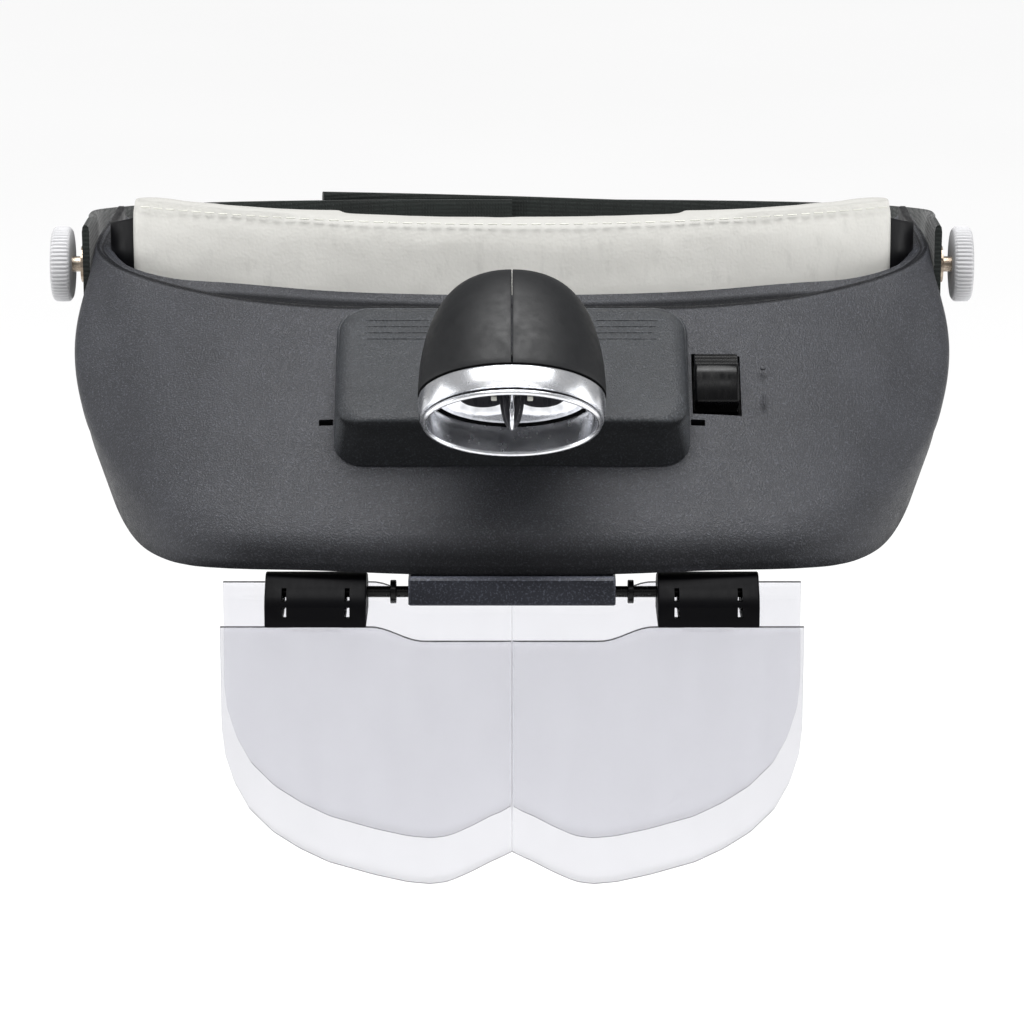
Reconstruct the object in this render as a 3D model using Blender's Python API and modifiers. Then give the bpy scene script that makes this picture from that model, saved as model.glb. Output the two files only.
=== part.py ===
"""Head visor magnifier: a headband with a tilting visor, two flip-down lens plates and an aimed lamp.

The origin is midway between the two tilt knobs, on their common axis. +X is the wearer's left,
-Y is the way the wearer looks, and +Z is up. Everything is in metres.
"""

import math

import bmesh
import bpy
from mathutils import Matrix, Vector

MM = 0.001
GAP = 0.3 * MM
MERGE = 0.00005

# Pivot stack, as distances from the middle plane
FRAME_INNER_X = 96.3 * MM
BAND_THICKNESS = 2.0 * MM
WASHER_THICKNESS = 0.9 * MM
SHELL_WALL = 2.2 * MM
STRAP_INNER_X = 102.9 * MM
STRAP_THICKNESS = 1.8 * MM
OUTER_WASHER_X = 105.0 * MM
KNOB_INNER_X = 108.2 * MM
KNOB_OUTER_X = 113.0 * MM
KNOB_RADIUS = 9.25 * MM
SCREW_RADIUS = 1.9 * MM
RUNNING_CLEARANCE = 0.06 * MM

# Headband
PAD_TOP_Z = 15.6 * MM
PAD_TOP_RISE = 2.4 * MM
PAD_BOTTOM_Z = -18.0 * MM
PAD_HALF_THICKNESS = 4.75 * MM
PAD_HALF_LENGTH = 92.5 * MM
PAD_ROUNDING = 9.5 * MM
FRAME_TOP_Z = 12.6 * MM
FRAME_BOTTOM_Z = -9.0 * MM
STRAP_WIDTH = 25.0 * MM
STRAP_TOP_Z = 11.6 * MM
STRAP_DROOP = 0.155
STRAP_LAP = 3.2 * MM
RIGHT_TAIL_X = 0.5 * MM
LEFT_TAIL_X = -54.5 * MM
TAIL_LIFT = 2.4 * MM

# Hood: the flat front slopes down at this angle from the crest
CREST_Y = -45.0 * MM
CREST_Z = -1.4 * MM
SLOPE = math.radians(41.0)

# Lens carrier
SHAFT_Y = -92.0 * MM
SHAFT_Z = -57.4 * MM
SHAFT_RADIUS = 1.3 * MM
SHAFT_HALF_LENGTH = 55.0 * MM
CLIP_INNER_X = 33.0 * MM
CLIP_OUTER_X = 56.0 * MM
PLATE_THICKNESS = 2.2 * MM
FRONT_PLATE_Y = -98.0 * MM
REAR_PLATE_Y = -86.0 * MM
FRONT_PLATE_TOP_Z = -64.0 * MM
REAR_PLATE_TOP_Z = -56.8 * MM
TAB_INNER_X = 38.8 * MM
TAB_OUTER_X = 50.2 * MM
TAB_HEIGHT = 5.4 * MM

# Cells, size AAA
CELL_RADIUS = 5.25 * MM
CELL_LENGTH = 43.5 * MM
NUB_HEIGHT = 1.0 * MM
CONTACT_THICKNESS = 0.5 * MM
WIRE_RADIUS = 0.3 * MM
CELL_DEPTH = -1.9 * MM
CELL_UPPER_V = 16.4 * MM
CELL_LOWER_V = 28.2 * MM
TRAY_HALF_WIDTH = 27.5 * MM
TRAY_NEAR_V = 9.0 * MM
TRAY_FAR_V = 35.6 * MM
TRAY_BOTTOM_N = -7.2 * MM
TRAY_WALL = 1.3 * MM

# Lamp
LAMP_FRONT = Vector((0.0, -105.0 * MM, -15.4 * MM))
LAMP_ANGLE = math.radians(48.0)
BEZEL_LENGTH = 7.0 * MM
LAMP_PIVOT = Vector((0.0, -75.6 * MM, -11.2 * MM))
LAMP_PIN_RADIUS = 1.2 * MM

BLACK = (18, 18, 22)
CLEAR = (222, 224, 228)


def mm(*values):
    return Vector([value * MM for value in values])


def linear(channel):
    value = channel / 255
    return value / 12.92 if value <= 0.04045 else ((value + 0.055) / 1.055) ** 2.4


def material(name, colour, roughness, metallic=0.0, transmission=0.0):
    """A Principled material from an 8-bit sRGB colour."""
    mat = bpy.data.materials.new(name)
    mat.use_nodes = True
    shader = mat.node_tree.nodes["Principled BSDF"]
    rgba = [linear(channel) for channel in colour] + [1.0]
    shader.inputs["Base Color"].default_value = rgba
    shader.inputs["Roughness"].default_value = roughness
    shader.inputs["Metallic"].default_value = metallic
    shader.inputs["Transmission Weight"].default_value = transmission
    mat.diffuse_color = rgba
    return mat


def clear_scene():
    for obj in list(bpy.data.objects):
        bpy.data.objects.remove(obj, do_unlink=True)


def make_collection(name):
    made = bpy.data.collections.new(name)
    bpy.context.scene.collection.children.link(made)
    return made


clear_scene()
PARTS = make_collection("head_visor_magnifier")
CUTTERS = make_collection("cutters")


def finish_part(obj, look):
    """Puts an object among the parts, with its own material and smooth shading over its round faces."""
    PARTS.objects.link(obj)
    colour, roughness, *rest = look
    obj.data.materials.append(material(obj.name, colour, roughness, *rest))
    obj.data.shade_smooth()
    obj.data.set_sharp_from_angle(angle=math.radians(35))
    return obj


def mesh_object(name, bm):
    """An object from a bmesh, whose faces point outwards if it is closed."""
    bmesh.ops.recalc_face_normals(bm, faces=bm.faces)
    closed = all(edge.is_manifold for edge in bm.edges)
    if closed and bm.calc_volume(signed=True) < 0:
        bmesh.ops.reverse_faces(bm, faces=bm.faces)
    mesh = bpy.data.meshes.new(name)
    bm.to_mesh(mesh)
    bm.free()
    return bpy.data.objects.new(name, mesh)


def as_cutter(obj):
    CUTTERS.objects.link(obj)
    obj.hide_render = True
    obj.display_type = "WIRE"
    return obj


def boolean(obj, other, operation="DIFFERENCE"):
    modifier = obj.modifiers.new(other.name, "BOOLEAN")
    modifier.operation = operation
    modifier.object = other
    modifier.solver = "EXACT"


def bevel(obj, width, segments=2, angle=40):
    modifier = obj.modifiers.new("edges", "BEVEL")
    modifier.width = width
    modifier.segments = segments
    modifier.limit_method = "ANGLE"
    modifier.angle_limit = math.radians(angle)
    return obj


def block(name, low, high, frame=None):
    """A box between two corners, in its own frame if one is given."""
    bm = bmesh.new()
    bmesh.ops.create_cube(bm, size=1.0)
    size = high - low
    bmesh.ops.scale(bm, vec=size, verts=bm.verts)
    bmesh.ops.translate(bm, vec=(low + high) / 2, verts=bm.verts)
    if frame:
        bm.transform(frame)
    return mesh_object(name, bm)


def rod(name, start, end, radius, sides=24):
    """A round bar between two points."""
    bm = bmesh.new()
    axis = end - start
    bmesh.ops.create_cone(
        bm, cap_ends=True, segments=sides, radius1=radius, radius2=radius, depth=axis.length
    )
    turn = Vector((0, 0, 1)).rotation_difference(axis).to_matrix().to_4x4()
    bm.transform(Matrix.Translation((start + end) / 2) @ turn)
    return mesh_object(name, bm)


def turned(name, profile, place, steps=32):
    """A profile of (radius, height) pairs, turned about its own Z and put where place says."""
    bm = bmesh.new()
    closed = profile[0] == profile[-1]
    points = profile[:-1] if closed else profile
    verts = [bm.verts.new((radius, 0, height)) for radius, height in points]
    for first, second in zip(verts, verts[1:]):
        bm.edges.new((first, second))
    if closed:
        bm.edges.new((verts[-1], verts[0]))
    mesh = bpy.data.meshes.new(name)
    bm.to_mesh(mesh)
    bm.free()
    obj = bpy.data.objects.new(name, mesh)
    screw = obj.modifiers.new("turn", "SCREW")
    screw.steps = screw.render_steps = steps
    screw.use_merge_vertices = True
    screw.merge_threshold = MERGE
    obj.matrix_world = place
    return obj


def prism(name, outline, depth):
    """A flat outline pushed straight by the vector depth."""
    bm = bmesh.new()
    face = bm.faces.new([bm.verts.new(point) for point in outline])
    grown = bmesh.ops.extrude_face_region(bm, geom=[face])["geom"]
    moved = [item for item in grown if isinstance(item, bmesh.types.BMVert)]
    bmesh.ops.translate(bm, vec=depth, verts=moved)
    return mesh_object(name, bm)


def loft(name, rings, closed_rings=True, caps="", joined_ends=False):
    """A skin over rings of points that match one to one, closed at its first and last ring on request."""
    bm = bmesh.new()
    rows = [[bm.verts.new(point) for point in ring] for ring in rings]
    pairs = list(zip(rows, rows[1:]))
    if joined_ends:
        pairs.append((rows[-1], rows[0]))
    for first, second in pairs:
        count = len(first) if closed_rings else len(first) - 1
        for i in range(count):
            j = (i + 1) % len(first)
            bm.faces.new((first[i], first[j], second[j], second[i]))
    if "first" in caps:
        bm.faces.new(rows[0])
    if "last" in caps:
        bm.faces.new(rows[-1])
    return mesh_object(name, bm)


def smooth(points, count):
    """Points evenly spaced in parameter on a Catmull-Rom curve through the given ones."""
    ends = [2 * points[0] - points[1], *points, 2 * points[-1] - points[-2]]
    made = []
    for k in range(count):
        place = k / (count - 1) * (len(points) - 1)
        i = min(int(place), len(points) - 2)
        t = place - i
        a, b, c, d = ends[i : i + 4]
        made.append(
            0.5
            * (2 * b + (c - a) * t + (2 * a - 5 * b + 4 * c - d) * t**2 + (3 * b - a - 3 * c + d) * t**3)
        )
    return made


def mirrored_path(half):
    """A whole plan curve from one half that starts on the middle plane."""
    left = [Vector((-point.x, *point[1:])) for point in reversed(half[1:])]
    return left + half


def solidify(obj, thickness, offset):
    modifier = obj.modifiers.new("wall", "SOLIDIFY")
    modifier.thickness = thickness
    modifier.offset = offset
    modifier.use_even_offset = True
    return obj


def strip(name, path, low, high, thickness):
    """An upright band on a plan curve: low and high give its edges' heights at each point."""
    rings = [
        (Vector((point.x, point.y, low(point))), Vector((point.x, point.y, high(point))))
        for point in path
    ]
    return solidify(loft(name, rings, closed_rings=False), thickness, 0.0)


def slope_frame():
    """Axes of the hood's flat front: X across, Y up the slope, Z out of the face, at the crest."""
    return Matrix.Translation((0, CREST_Y, CREST_Z)) @ Matrix.Rotation(SLOPE, 4, "X")


def on_slope(x, v, n):
    """A point at x, a distance v down the slope from the crest and n out of the face."""
    return slope_frame() @ Vector((x, -v, n))


def slope_block(name, x_range, v_range, n_range):
    low = Vector((x_range[0], -v_range[1], n_range[0]))
    high = Vector((x_range[1], -v_range[0], n_range[1]))
    return block(name, low, high, slope_frame())


def side_place(x, side):
    """A frame at distance x along one side's knob axis, with its Z pointing outwards."""
    return Matrix.Translation((side * x, 0, 0)) @ Matrix.Rotation(side * math.pi / 2, 4, "Y")


def pivot_drill(obj, name, clearance=RUNNING_CLEARANCE):
    """Bores the hole for the tilt screws through both sides of an object."""
    reach = mm(125, 0, 0)
    boolean(obj, as_cutter(rod(name + "_drill", -reach, reach, SCREW_RADIUS + clearance, 32)))


# Headband


def band_half():
    """The front band's middle line in plan: shallow over the forehead, then back to the pivots."""
    side_x = (FRAME_INNER_X + BAND_THICKNESS / 2) / MM
    return [
        mm(0, -21.2, 0),
        mm(30, -20.0, 0),
        mm(60, -16.4, 0),
        mm(80, -12.6, 0),
        mm(89.5, -10.4, 0),
        mm(94.2, -8.8, 0),
        mm(96.7, -6.4, 0),
        mm(side_x, -3.4, 0),
        mm(side_x, 4, 0),
        mm(side_x, 14, 0),
    ]


def frame_top(point):
    return FRAME_TOP_Z + PAD_TOP_RISE * (point.x / PAD_HALF_LENGTH) ** 2


def make_headband_frame():
    path = mirrored_path(smooth(band_half(), 28))
    frame = strip("headband_frame", path, lambda p: FRAME_BOTTOM_Z, frame_top, BAND_THICKNESS)
    pivot_drill(frame, "frame")
    finish_part(frame, ((26, 26, 28), 0.45))


def pad_half():
    return [*band_half()[:5], Vector((PAD_HALF_LENGTH, -9.5 * MM, 0))]


def pad_ring(path, k):
    """The pad's upright section at one point of its path, thinner and rounded towards its ends."""
    point = path[k]
    along = (path[min(k + 1, len(path) - 1)] - path[max(k - 1, 0)]).normalized()
    outwards = Vector((along.y, -along.x, 0))
    past = max(0.0, abs(point.x) - PAD_HALF_LENGTH + PAD_ROUNDING) / PAD_ROUNDING
    scale = 0.42 + 0.58 * math.sqrt(max(0.0, 1 - past**2))
    half = PAD_HALF_THICKNESS * scale
    top = PAD_TOP_Z + PAD_TOP_RISE * (point.x / PAD_HALF_LENGTH) ** 2 - 1.6 * MM * past**4
    low = PAD_BOTTOM_Z + 3 * MM * past**4
    soft = 2.2 * MM
    section = [(half, low + soft), (half, top - soft), (half - soft * 0.4, top - soft * 0.3)]
    section += [(half * 0.4, top), (-half * 0.4, top), (-half + soft * 0.4, top - soft * 0.3)]
    section += [(-half, top - soft), (-half, low + soft), (-half * 0.5, low), (half * 0.5, low)]
    return [point + outwards * across + Vector((0, 0, z)) for across, z in section]


def make_forehead_pad():
    """The pad is slipped over the band from above, so its slot is open at the bottom."""
    path = mirrored_path(smooth(pad_half(), 15))
    rings = [pad_ring(path, k) for k in range(len(path))]
    pad = loft("forehead_pad", rings, caps="first last")
    slot = strip(
        "pad_slot",
        mirrored_path(smooth(band_half(), 28)),
        lambda p: PAD_BOTTOM_Z - 2 * MM,
        lambda p: frame_top(p) + GAP,
        BAND_THICKNESS + 2 * GAP,
    )
    boolean(pad, as_cutter(slot))
    finish_part(pad, ((215, 216, 210), 0.6))


def strap_loop():
    """The straps' shared middle line in plan, from the right pivot round the back to the left one."""
    side_x = (STRAP_INNER_X + STRAP_THICKNESS / 2) / MM
    half = [
        mm(0, 150, 0),
        mm(30, 148, 0),
        mm(60, 138.5, 0),
        mm(84, 122, 0),
        mm(100.5, 96, 0),
        mm(107.6, 66, 0),
        mm(107.3, 38, 0),
        mm(side_x + 0.3, 16, 0),
        mm(side_x, 2, 0),
        mm(side_x, -10, 0),
    ]
    return mirrored_path(smooth(half, 37))


def moved_out(path, distance):
    """A plan path moved outwards from the head, by a distance that depends on each point."""
    moved = []
    for k, point in enumerate(path):
        along = (path[min(k + 1, len(path) - 1)] - path[max(k - 1, 0)]).normalized()
        moved.append(point + Vector((-along.y, along.x, 0)) * distance(point))
    return moved


def overlap_offset(point):
    """The left strap steps out over the right one just before the middle of the back."""
    if point.y < 100 * MM:
        return 0.0
    step = min(1.0, max(0.0, (24 * MM - point.x) / (24 * MM)))
    return STRAP_LAP * step * step * (3 - 2 * step)


def strap_top(point):
    return STRAP_TOP_Z - STRAP_DROOP * max(point.y, 0)


def lifted_top(point):
    """The left strap's free tail rides a little higher than the strap under it."""
    if point.y < 100 * MM:
        return strap_top(point)
    past = max(0.0, (30 * MM - point.x) / (30 * MM - LEFT_TAIL_X))
    return strap_top(point) + TAIL_LIFT * past


def make_strap(name, path, top):
    strap = strip(name, path, lambda p: top(p) - STRAP_WIDTH, top, STRAP_THICKNESS)
    pivot_drill(strap, name)
    finish_part(strap, ((38, 44, 42), 0.7))


def make_straps():
    loop = strap_loop()
    right = [point for point in loop if point.x <= RIGHT_TAIL_X]
    left = [point for point in moved_out(loop, overlap_offset) if point.x >= LEFT_TAIL_X]
    make_strap("strap_right", right, strap_top)
    make_strap("strap_left", left, lifted_top)
    lap = [p for p in moved_out(loop, lambda p: STRAP_LAP / 2) if -46 * MM < p.x < -7 * MM and p.y > 0.1]
    patch = strip(
        "hook_patch",
        lap,
        lambda p: strap_top(p) - STRAP_WIDTH + 3 * MM,
        lambda p: strap_top(p) - 3 * MM,
        0.6 * MM,
    )
    finish_part(patch, ((30, 34, 33), 0.9))


def ring_profile(inner, outer, low, high):
    return [(inner, high), (outer, high), (outer, low), (inner, low), (inner, high)]


def make_pivot(side, word):
    """The screw, washers and knob that clamp one side of the visor to the headband."""
    inner_x = FRAME_INNER_X + BAND_THICKNESS + GAP
    bore = SCREW_RADIUS + RUNNING_CLEARANCE
    washer = ring_profile(bore, 3.3 * MM, 0, WASHER_THICKNESS)
    steel = ((150, 140, 130), 0.35, 1.0)
    place = side_place(inner_x, side)
    finish_part(turned(f"washer_inner_{word}", washer, place, 24), steel)
    washer = ring_profile(bore, 4.5 * MM, 0, WASHER_THICKNESS)
    place = side_place(OUTER_WASHER_X, side)
    finish_part(turned(f"washer_outer_{word}", washer, place, 24), steel)
    head_x = FRAME_INNER_X - GAP - 1.4 * MM
    tip = 111.0 * MM - head_x
    screw = [
        (0, tip),
        (SCREW_RADIUS - 0.4 * MM, tip),
        (SCREW_RADIUS, tip - 0.4 * MM),
        (SCREW_RADIUS, 1.4 * MM),
        (3.6 * MM, 1.4 * MM),
        (3.3 * MM, 0.3 * MM),
        (2.6 * MM, 0),
        (0, 0),
    ]
    finish_part(turned(f"pivot_screw_{word}", screw, side_place(head_x, side), 32), steel)
    make_knob(side, word)


def make_knob(side, word):
    depth = KNOB_OUTER_X - KNOB_INNER_X
    hole = SCREW_RADIUS + RUNNING_CLEARANCE
    hole_depth = 111.3 * MM - KNOB_INNER_X
    profile = [
        (0, depth),
        (KNOB_RADIUS - 0.7 * MM, depth),
        (KNOB_RADIUS, depth - 0.7 * MM),
        (KNOB_RADIUS, 0.5 * MM),
        (KNOB_RADIUS - 0.5 * MM, 0),
        (hole, 0),
        (hole, hole_depth),
        (0, hole_depth),
    ]
    knob = turned(f"knob_{word}", profile, side_place(KNOB_INNER_X, side), 40)
    finish_part(knob, ((222, 220, 222), 0.4))


# Hood


def hood_lines():
    """The hood's four guide lines in plan order, from the middle to the end of the ear.

    They are the lip beside the forehead, the crest, the knee above the front rim and the lower edge.
    """
    lip = [
        mm(0, -33, -0.9),
        mm(22, -32, -0.9),
        mm(44, -29.5, -0.6),
        mm(66, -25.5, 0.4),
        mm(81.5, -24.4, 1.4),
        mm(92.6, -19.4, 3.4),
        mm(98.8, -8.4, 5.4),
        mm(99.6, 6, 5.8),
        mm(99.6, 24, 5.4),
        mm(99.6, 40, 5),
    ]
    crest = [
        mm(0, -45, -1.4),
        mm(22, -45, -1.4),
        mm(44, -44.6, -1.4),
        mm(66, -38.5, -0.6),
        mm(84, -28.5, 1),
        mm(95.2, -21.2, 3.2),
        mm(101.4, -9.5, 5.2),
        mm(102.4, 6, 5.8),
        mm(102.4, 24, 5.4),
        mm(102.4, 40, 5),
    ]
    knee = [
        mm(0, -93.4, -43.5),
        mm(22, -93.4, -43.5),
        mm(44, -92.8, -43.2),
        mm(63, -89.8, -42.6),
        mm(79, -80.5, -41),
        mm(93, -62, -37),
        mm(101.8, -40, -29.5),
        mm(102.6, -14, -18),
        mm(102.4, 10, -10),
        mm(102.4, 40, -4),
    ]
    edge = [
        mm(0, -95.6, -52.4),
        mm(22, -95.6, -52.3),
        mm(44, -95.0, -51.6),
        mm(66, -92, -51.8),
        mm(79.5, -84.6, -51.8),
        mm(89, -69, -49.6),
        mm(96.6, -47, -41),
        mm(101.8, -18, -26),
        mm(102.4, 9, -14.5),
        mm(102.4, 40, -8.5),
    ]
    return lip, crest, knee, edge


def hood_rings(stations, steps):
    """Rings across the hood, one a station: lip, crest, the bulged face down to the knee, the rim."""
    lip, crest, knee, edge = (smooth(line, stations) for line in hood_lines())
    rings = []
    for k in range(stations):
        along = k / (stations - 1)
        bulge = 5.0 * MM * math.exp(-(((along - 0.625) / 0.055) ** 2))
        face = []
        for i in range(steps + 1):
            t = i / steps
            point = crest[k].lerp(knee[k], t)
            point.x += bulge * math.sin(math.pi * t)
            face.append(point)
        corner = knee[k].lerp(edge[k], 0.35) + (knee[k] - crest[k]).normalized() * 0.9 * MM
        rings.append([lip[k], *face, corner, edge[k]])
    return rings


def make_hood():
    half = loft("visor_shell", hood_rings(27, 4), closed_rings=False)
    mirror = half.modifiers.new("both sides", "MIRROR")
    mirror.merge_threshold = MERGE
    solidify(half, SHELL_WALL, -1.0)
    pivot_drill(half, "ear")
    well = slope_block(
        "tray_well",
        (-TRAY_HALF_WIDTH - GAP, TRAY_HALF_WIDTH + GAP),
        (TRAY_NEAR_V - GAP, TRAY_FAR_V + GAP),
        (-6 * MM, 6 * MM),
    )
    boolean(half, as_cutter(well))
    window = slope_block(
        "switch_window", (41.8 * MM, 53.2 * MM), (13.4 * MM, 30.6 * MM), (-7 * MM, 6 * MM)
    )
    boolean(half, as_cutter(window))
    for side, word in ((1, "left"), (-1, "right")):
        x_range = sorted((side * 41.3 * MM, side * 44.6 * MM))
        slot = slope_block(f"latch_slot_{word}", x_range, (32.2 * MM, 33.9 * MM), (-7 * MM, 6 * MM))
        boolean(half, as_cutter(slot))
    finish_part(half, ((85, 86, 90), 0.55))


def make_hinge_block():
    low = Vector((-23.5 * MM, SHAFT_Y - 5.4 * MM, SHAFT_Z - 1.9 * MM))
    high = Vector((23.5 * MM, SHAFT_Y + 3.9 * MM, -52.8 * MM))
    body = block("hinge_block", low, high)
    low = Vector((-14 * MM, -91.4 * MM, -54 * MM))
    high = Vector((14 * MM, -89.6 * MM, -47.5 * MM))
    boolean(body, as_cutter(block("hinge_block_tongue", low, high)), "UNION")
    reach = Vector((30 * MM, 0, 0))
    centre = Vector((0, SHAFT_Y, SHAFT_Z))
    bore = rod("shaft_bore", centre - reach, centre + reach, SHAFT_RADIUS + RUNNING_CLEARANCE, 32)
    boolean(body, as_cutter(bore))
    finish_part(bevel(body, 0.5 * MM, 1), ((70, 71, 75), 0.5))


# Battery box


def rounded_rectangle(x_half, v_low, v_high, radius, corner_steps=4):
    """Points round a rectangle on the slope, with its two lower corners well rounded."""
    corners = [
        (x_half - radius, v_high - radius, 0),
        (-x_half + radius, v_high - radius, 90),
        (-x_half + radius, v_low + radius, 180),
        (x_half - radius, v_low + radius, 270),
    ]
    points = []
    for cx, cv, start in corners:
        for i in range(corner_steps + 1):
            angle = math.radians(start + 90 * i / corner_steps)
            points.append((cx + radius * math.cos(angle), cv + radius * math.sin(angle)))
    return points


def box_top(v):
    """Height of the battery box's top above the hood, rising away from the crest."""
    return 2.0 * MM + 0.228 * v


def make_battery_box():
    rings = []
    for x_half, v_low, v_high, drop in (
        (41.0, 0.6, 45.6, None),
        (40.6, 0.8, 41.3, 3.2),
        (39.8, 1.4, 40.3, 1.2),
        (38.6, 2.4, 39.2, 0.3),
        (36.8, 3.8, 37.4, 0.0),
    ):
        ring = rounded_rectangle(x_half * MM, v_low * MM, v_high * MM, 7 * MM)
        ring = [
            on_slope(x, v, GAP if drop is None else max(box_top(v) - drop * MM, 0.9 * MM))
            for x, v in ring
        ]
        rings.append(ring)
    box = loft("battery_box", rings, caps="first last")
    hollow_rings = []
    for height in (-2 * MM, None):
        ring = rounded_rectangle(37.5 * MM, 5 * MM, 38.5 * MM, 4 * MM)
        hollow_rings.append(
            [on_slope(x, v, box_top(v) - 1.8 * MM if height is None else height) for x, v in ring]
        )
    boolean(box, as_cutter(loft("battery_box_hollow", hollow_rings, caps="first last")))
    for side in (1, -1):
        boolean(box, as_cutter(yoke_ear(side)), "UNION")
    bore_reach = Vector((12 * MM, 0, 0))
    bore = rod("yoke_bore", LAMP_PIVOT - bore_reach, LAMP_PIVOT + bore_reach, LAMP_PIN_RADIUS + 0.05 * MM)
    boolean(box, as_cutter(bore))
    finish_part(box, ((66, 67, 71), 0.5))


def yoke_ear(side):
    """One upright ear of the lamp's yoke, from inside the box's top to round the pin."""
    radius = 3.4 * MM
    foot_v = 32.4 * MM
    foot = on_slope(0, foot_v, box_top(foot_v) - 1.2 * MM)
    outline = []
    for i in range(9):
        angle = math.radians(-20 + 220 * i / 8)
        outline.append((LAMP_PIVOT.y + radius * math.cos(angle), LAMP_PIVOT.z + radius * math.sin(angle)))
    outline.append((foot.y - 4.5 * MM, foot.z - 2.4 * MM))
    outline.append((foot.y + 5.5 * MM, foot.z + 2.9 * MM))
    inner = side * 3.4 * MM
    points = [Vector((inner, y, z)) for y, z in outline]
    return prism(f"yoke_ear_{'left' if side > 0 else 'right'}", points, Vector((side * 2.5 * MM, 0, 0)))


def make_battery_tray():
    """An open frame round the two cells, through the hood, closed by the door from inside."""
    x, wall = TRAY_HALF_WIDTH, TRAY_WALL
    tray = slope_block(
        "battery_tray", (-x, x), (TRAY_NEAR_V, TRAY_FAR_V), (TRAY_BOTTOM_N, 1.6 * MM)
    )
    hollow = slope_block(
        "tray_hollow",
        (-x + wall, x - wall),
        (TRAY_NEAR_V + wall, TRAY_FAR_V - wall),
        (TRAY_BOTTOM_N - 2 * MM, 5 * MM),
    )
    boolean(tray, as_cutter(hollow))
    finish_part(tray, ((40, 40, 44), 0.5))


def make_battery_door():
    door = slope_block(
        "battery_door",
        (-TRAY_HALF_WIDTH, TRAY_HALF_WIDTH),
        (TRAY_NEAR_V, TRAY_FAR_V),
        (TRAY_BOTTOM_N - GAP - 1.4 * MM, TRAY_BOTTOM_N - GAP),
    )
    finish_part(bevel(door, 0.4 * MM, 1), ((44, 44, 48), 0.5))
    return door


def contact_x():
    """Where the contact plates' inner faces stand."""
    return TRAY_HALF_WIDTH - TRAY_WALL - GAP - CONTACT_THICKNESS


def cell_shift():
    """How far a cell sits towards the plate that its nub meets."""
    return contact_x() - GAP - NUB_HEIGHT - CELL_LENGTH / 2


def make_cell(name, v, direction):
    """One AAA cell across the tray, its positive nub towards +X or -X."""
    nub = 1.9 * MM
    half = CELL_LENGTH / 2
    profile = [
        (0, half + NUB_HEIGHT),
        (nub, half + NUB_HEIGHT),
        (nub, half),
        (CELL_RADIUS - 0.5 * MM, half),
        (CELL_RADIUS, half - 0.5 * MM),
        (CELL_RADIUS, -half + 0.5 * MM),
        (CELL_RADIUS - 0.5 * MM, -half),
        (0, -half),
    ]
    centre = on_slope(direction * cell_shift(), v, CELL_DEPTH)
    place = Matrix.Translation(centre) @ Matrix.Rotation(direction * math.pi / 2, 4, "Y")
    finish_part(turned(name, profile, place, 20), ((190, 150, 70), 0.3, 0.6))


def contact_plate(name, side, v_range):
    x_range = sorted((side * contact_x(), side * (contact_x() + CONTACT_THICKNESS)))
    plate = slope_block(name, x_range, v_range, (-6.2 * MM, 1.2 * MM))
    return finish_part(plate, ((200, 200, 205), 0.3, 1.0))


def contact_spring(name, side, v):
    """A coil between a contact plate and the flat end of a cell."""
    far = contact_x() - GAP - WIRE_RADIUS
    near = CELL_LENGTH / 2 - cell_shift() + GAP + WIRE_RADIUS
    turns, per_turn = 3, 9
    curve = bpy.data.curves.new(name, "CURVE")
    curve.dimensions = "3D"
    spline = curve.splines.new("POLY")
    count = turns * per_turn
    spline.points.add(count)
    for i in range(count + 1):
        t = i / count
        angle = math.tau * turns * t
        radius = (3.6 - 1.4 * (1 - t)) * MM
        x = side * (near + (far - near) * t)
        point = on_slope(x, v + radius * math.cos(angle), CELL_DEPTH + radius * math.sin(angle))
        spline.points[i].co = (*point, 1)
    curve.bevel_depth = WIRE_RADIUS
    curve.bevel_resolution = 1
    curve.use_fill_caps = True
    obj = bpy.data.objects.new(name, curve)
    PARTS.objects.link(obj)
    curve.materials.append(material(name, (200, 200, 205), 0.3, 1.0))


def make_contacts():
    near, far = TRAY_NEAR_V + TRAY_WALL + GAP, TRAY_FAR_V - TRAY_WALL - GAP
    middle = (near + far) / 2
    contact_plate("contact_bridge", -1, (near, far))
    contact_plate("terminal_upper", 1, (near, middle - 0.5 * MM))
    contact_plate("terminal_lower", 1, (middle + 0.5 * MM, far))
    contact_spring("contact_spring_upper", -1, CELL_UPPER_V)
    contact_spring("contact_spring_lower", 1, CELL_LOWER_V)


def make_switch():
    body = slope_block(
        "switch_body", (42.5 * MM, 52.5 * MM), (12.0 * MM, 32.0 * MM), (-10.8 * MM, -4.4 * MM)
    )
    finish_part(body, ((30, 30, 34), 0.5))
    ridge = ((14, -3.9), (14, 0.9), (19.6, 3.9), (21.6, 3.9), (27.8, 1.0), (27.8, -3.9))
    outline = [on_slope(42.4 * MM, v * MM, n * MM) for v, n in ridge]
    knob = prism("switch_knob", outline, mm(10.2, 0, 0))
    finish_part(bevel(knob, 0.5 * MM, 2, 30), (BLACK, 0.12))


# Lens carrier


def make_shaft():
    centre = Vector((0, SHAFT_Y, SHAFT_Z))
    reach = Vector((SHAFT_HALF_LENGTH, 0, 0))
    steel = ((160, 160, 165), 0.3, 1.0)
    finish_part(rod("lens_shaft", centre - reach, centre + reach, SHAFT_RADIUS, 32), steel)
    for side, word in ((1, "left"), (-1, "right")):
        inner = SHAFT_RADIUS + RUNNING_CLEARANCE
        profile = ring_profile(inner, 2.7 * MM, 0, 1.4 * MM)
        place = Matrix.Translation((side * 26.3 * MM, SHAFT_Y, SHAFT_Z)) @ Matrix.Rotation(
            side * math.pi / 2, 4, "Y"
        )
        finish_part(turned(f"retaining_ring_{word}", profile, place, 24), (BLACK, 0.3))


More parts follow.
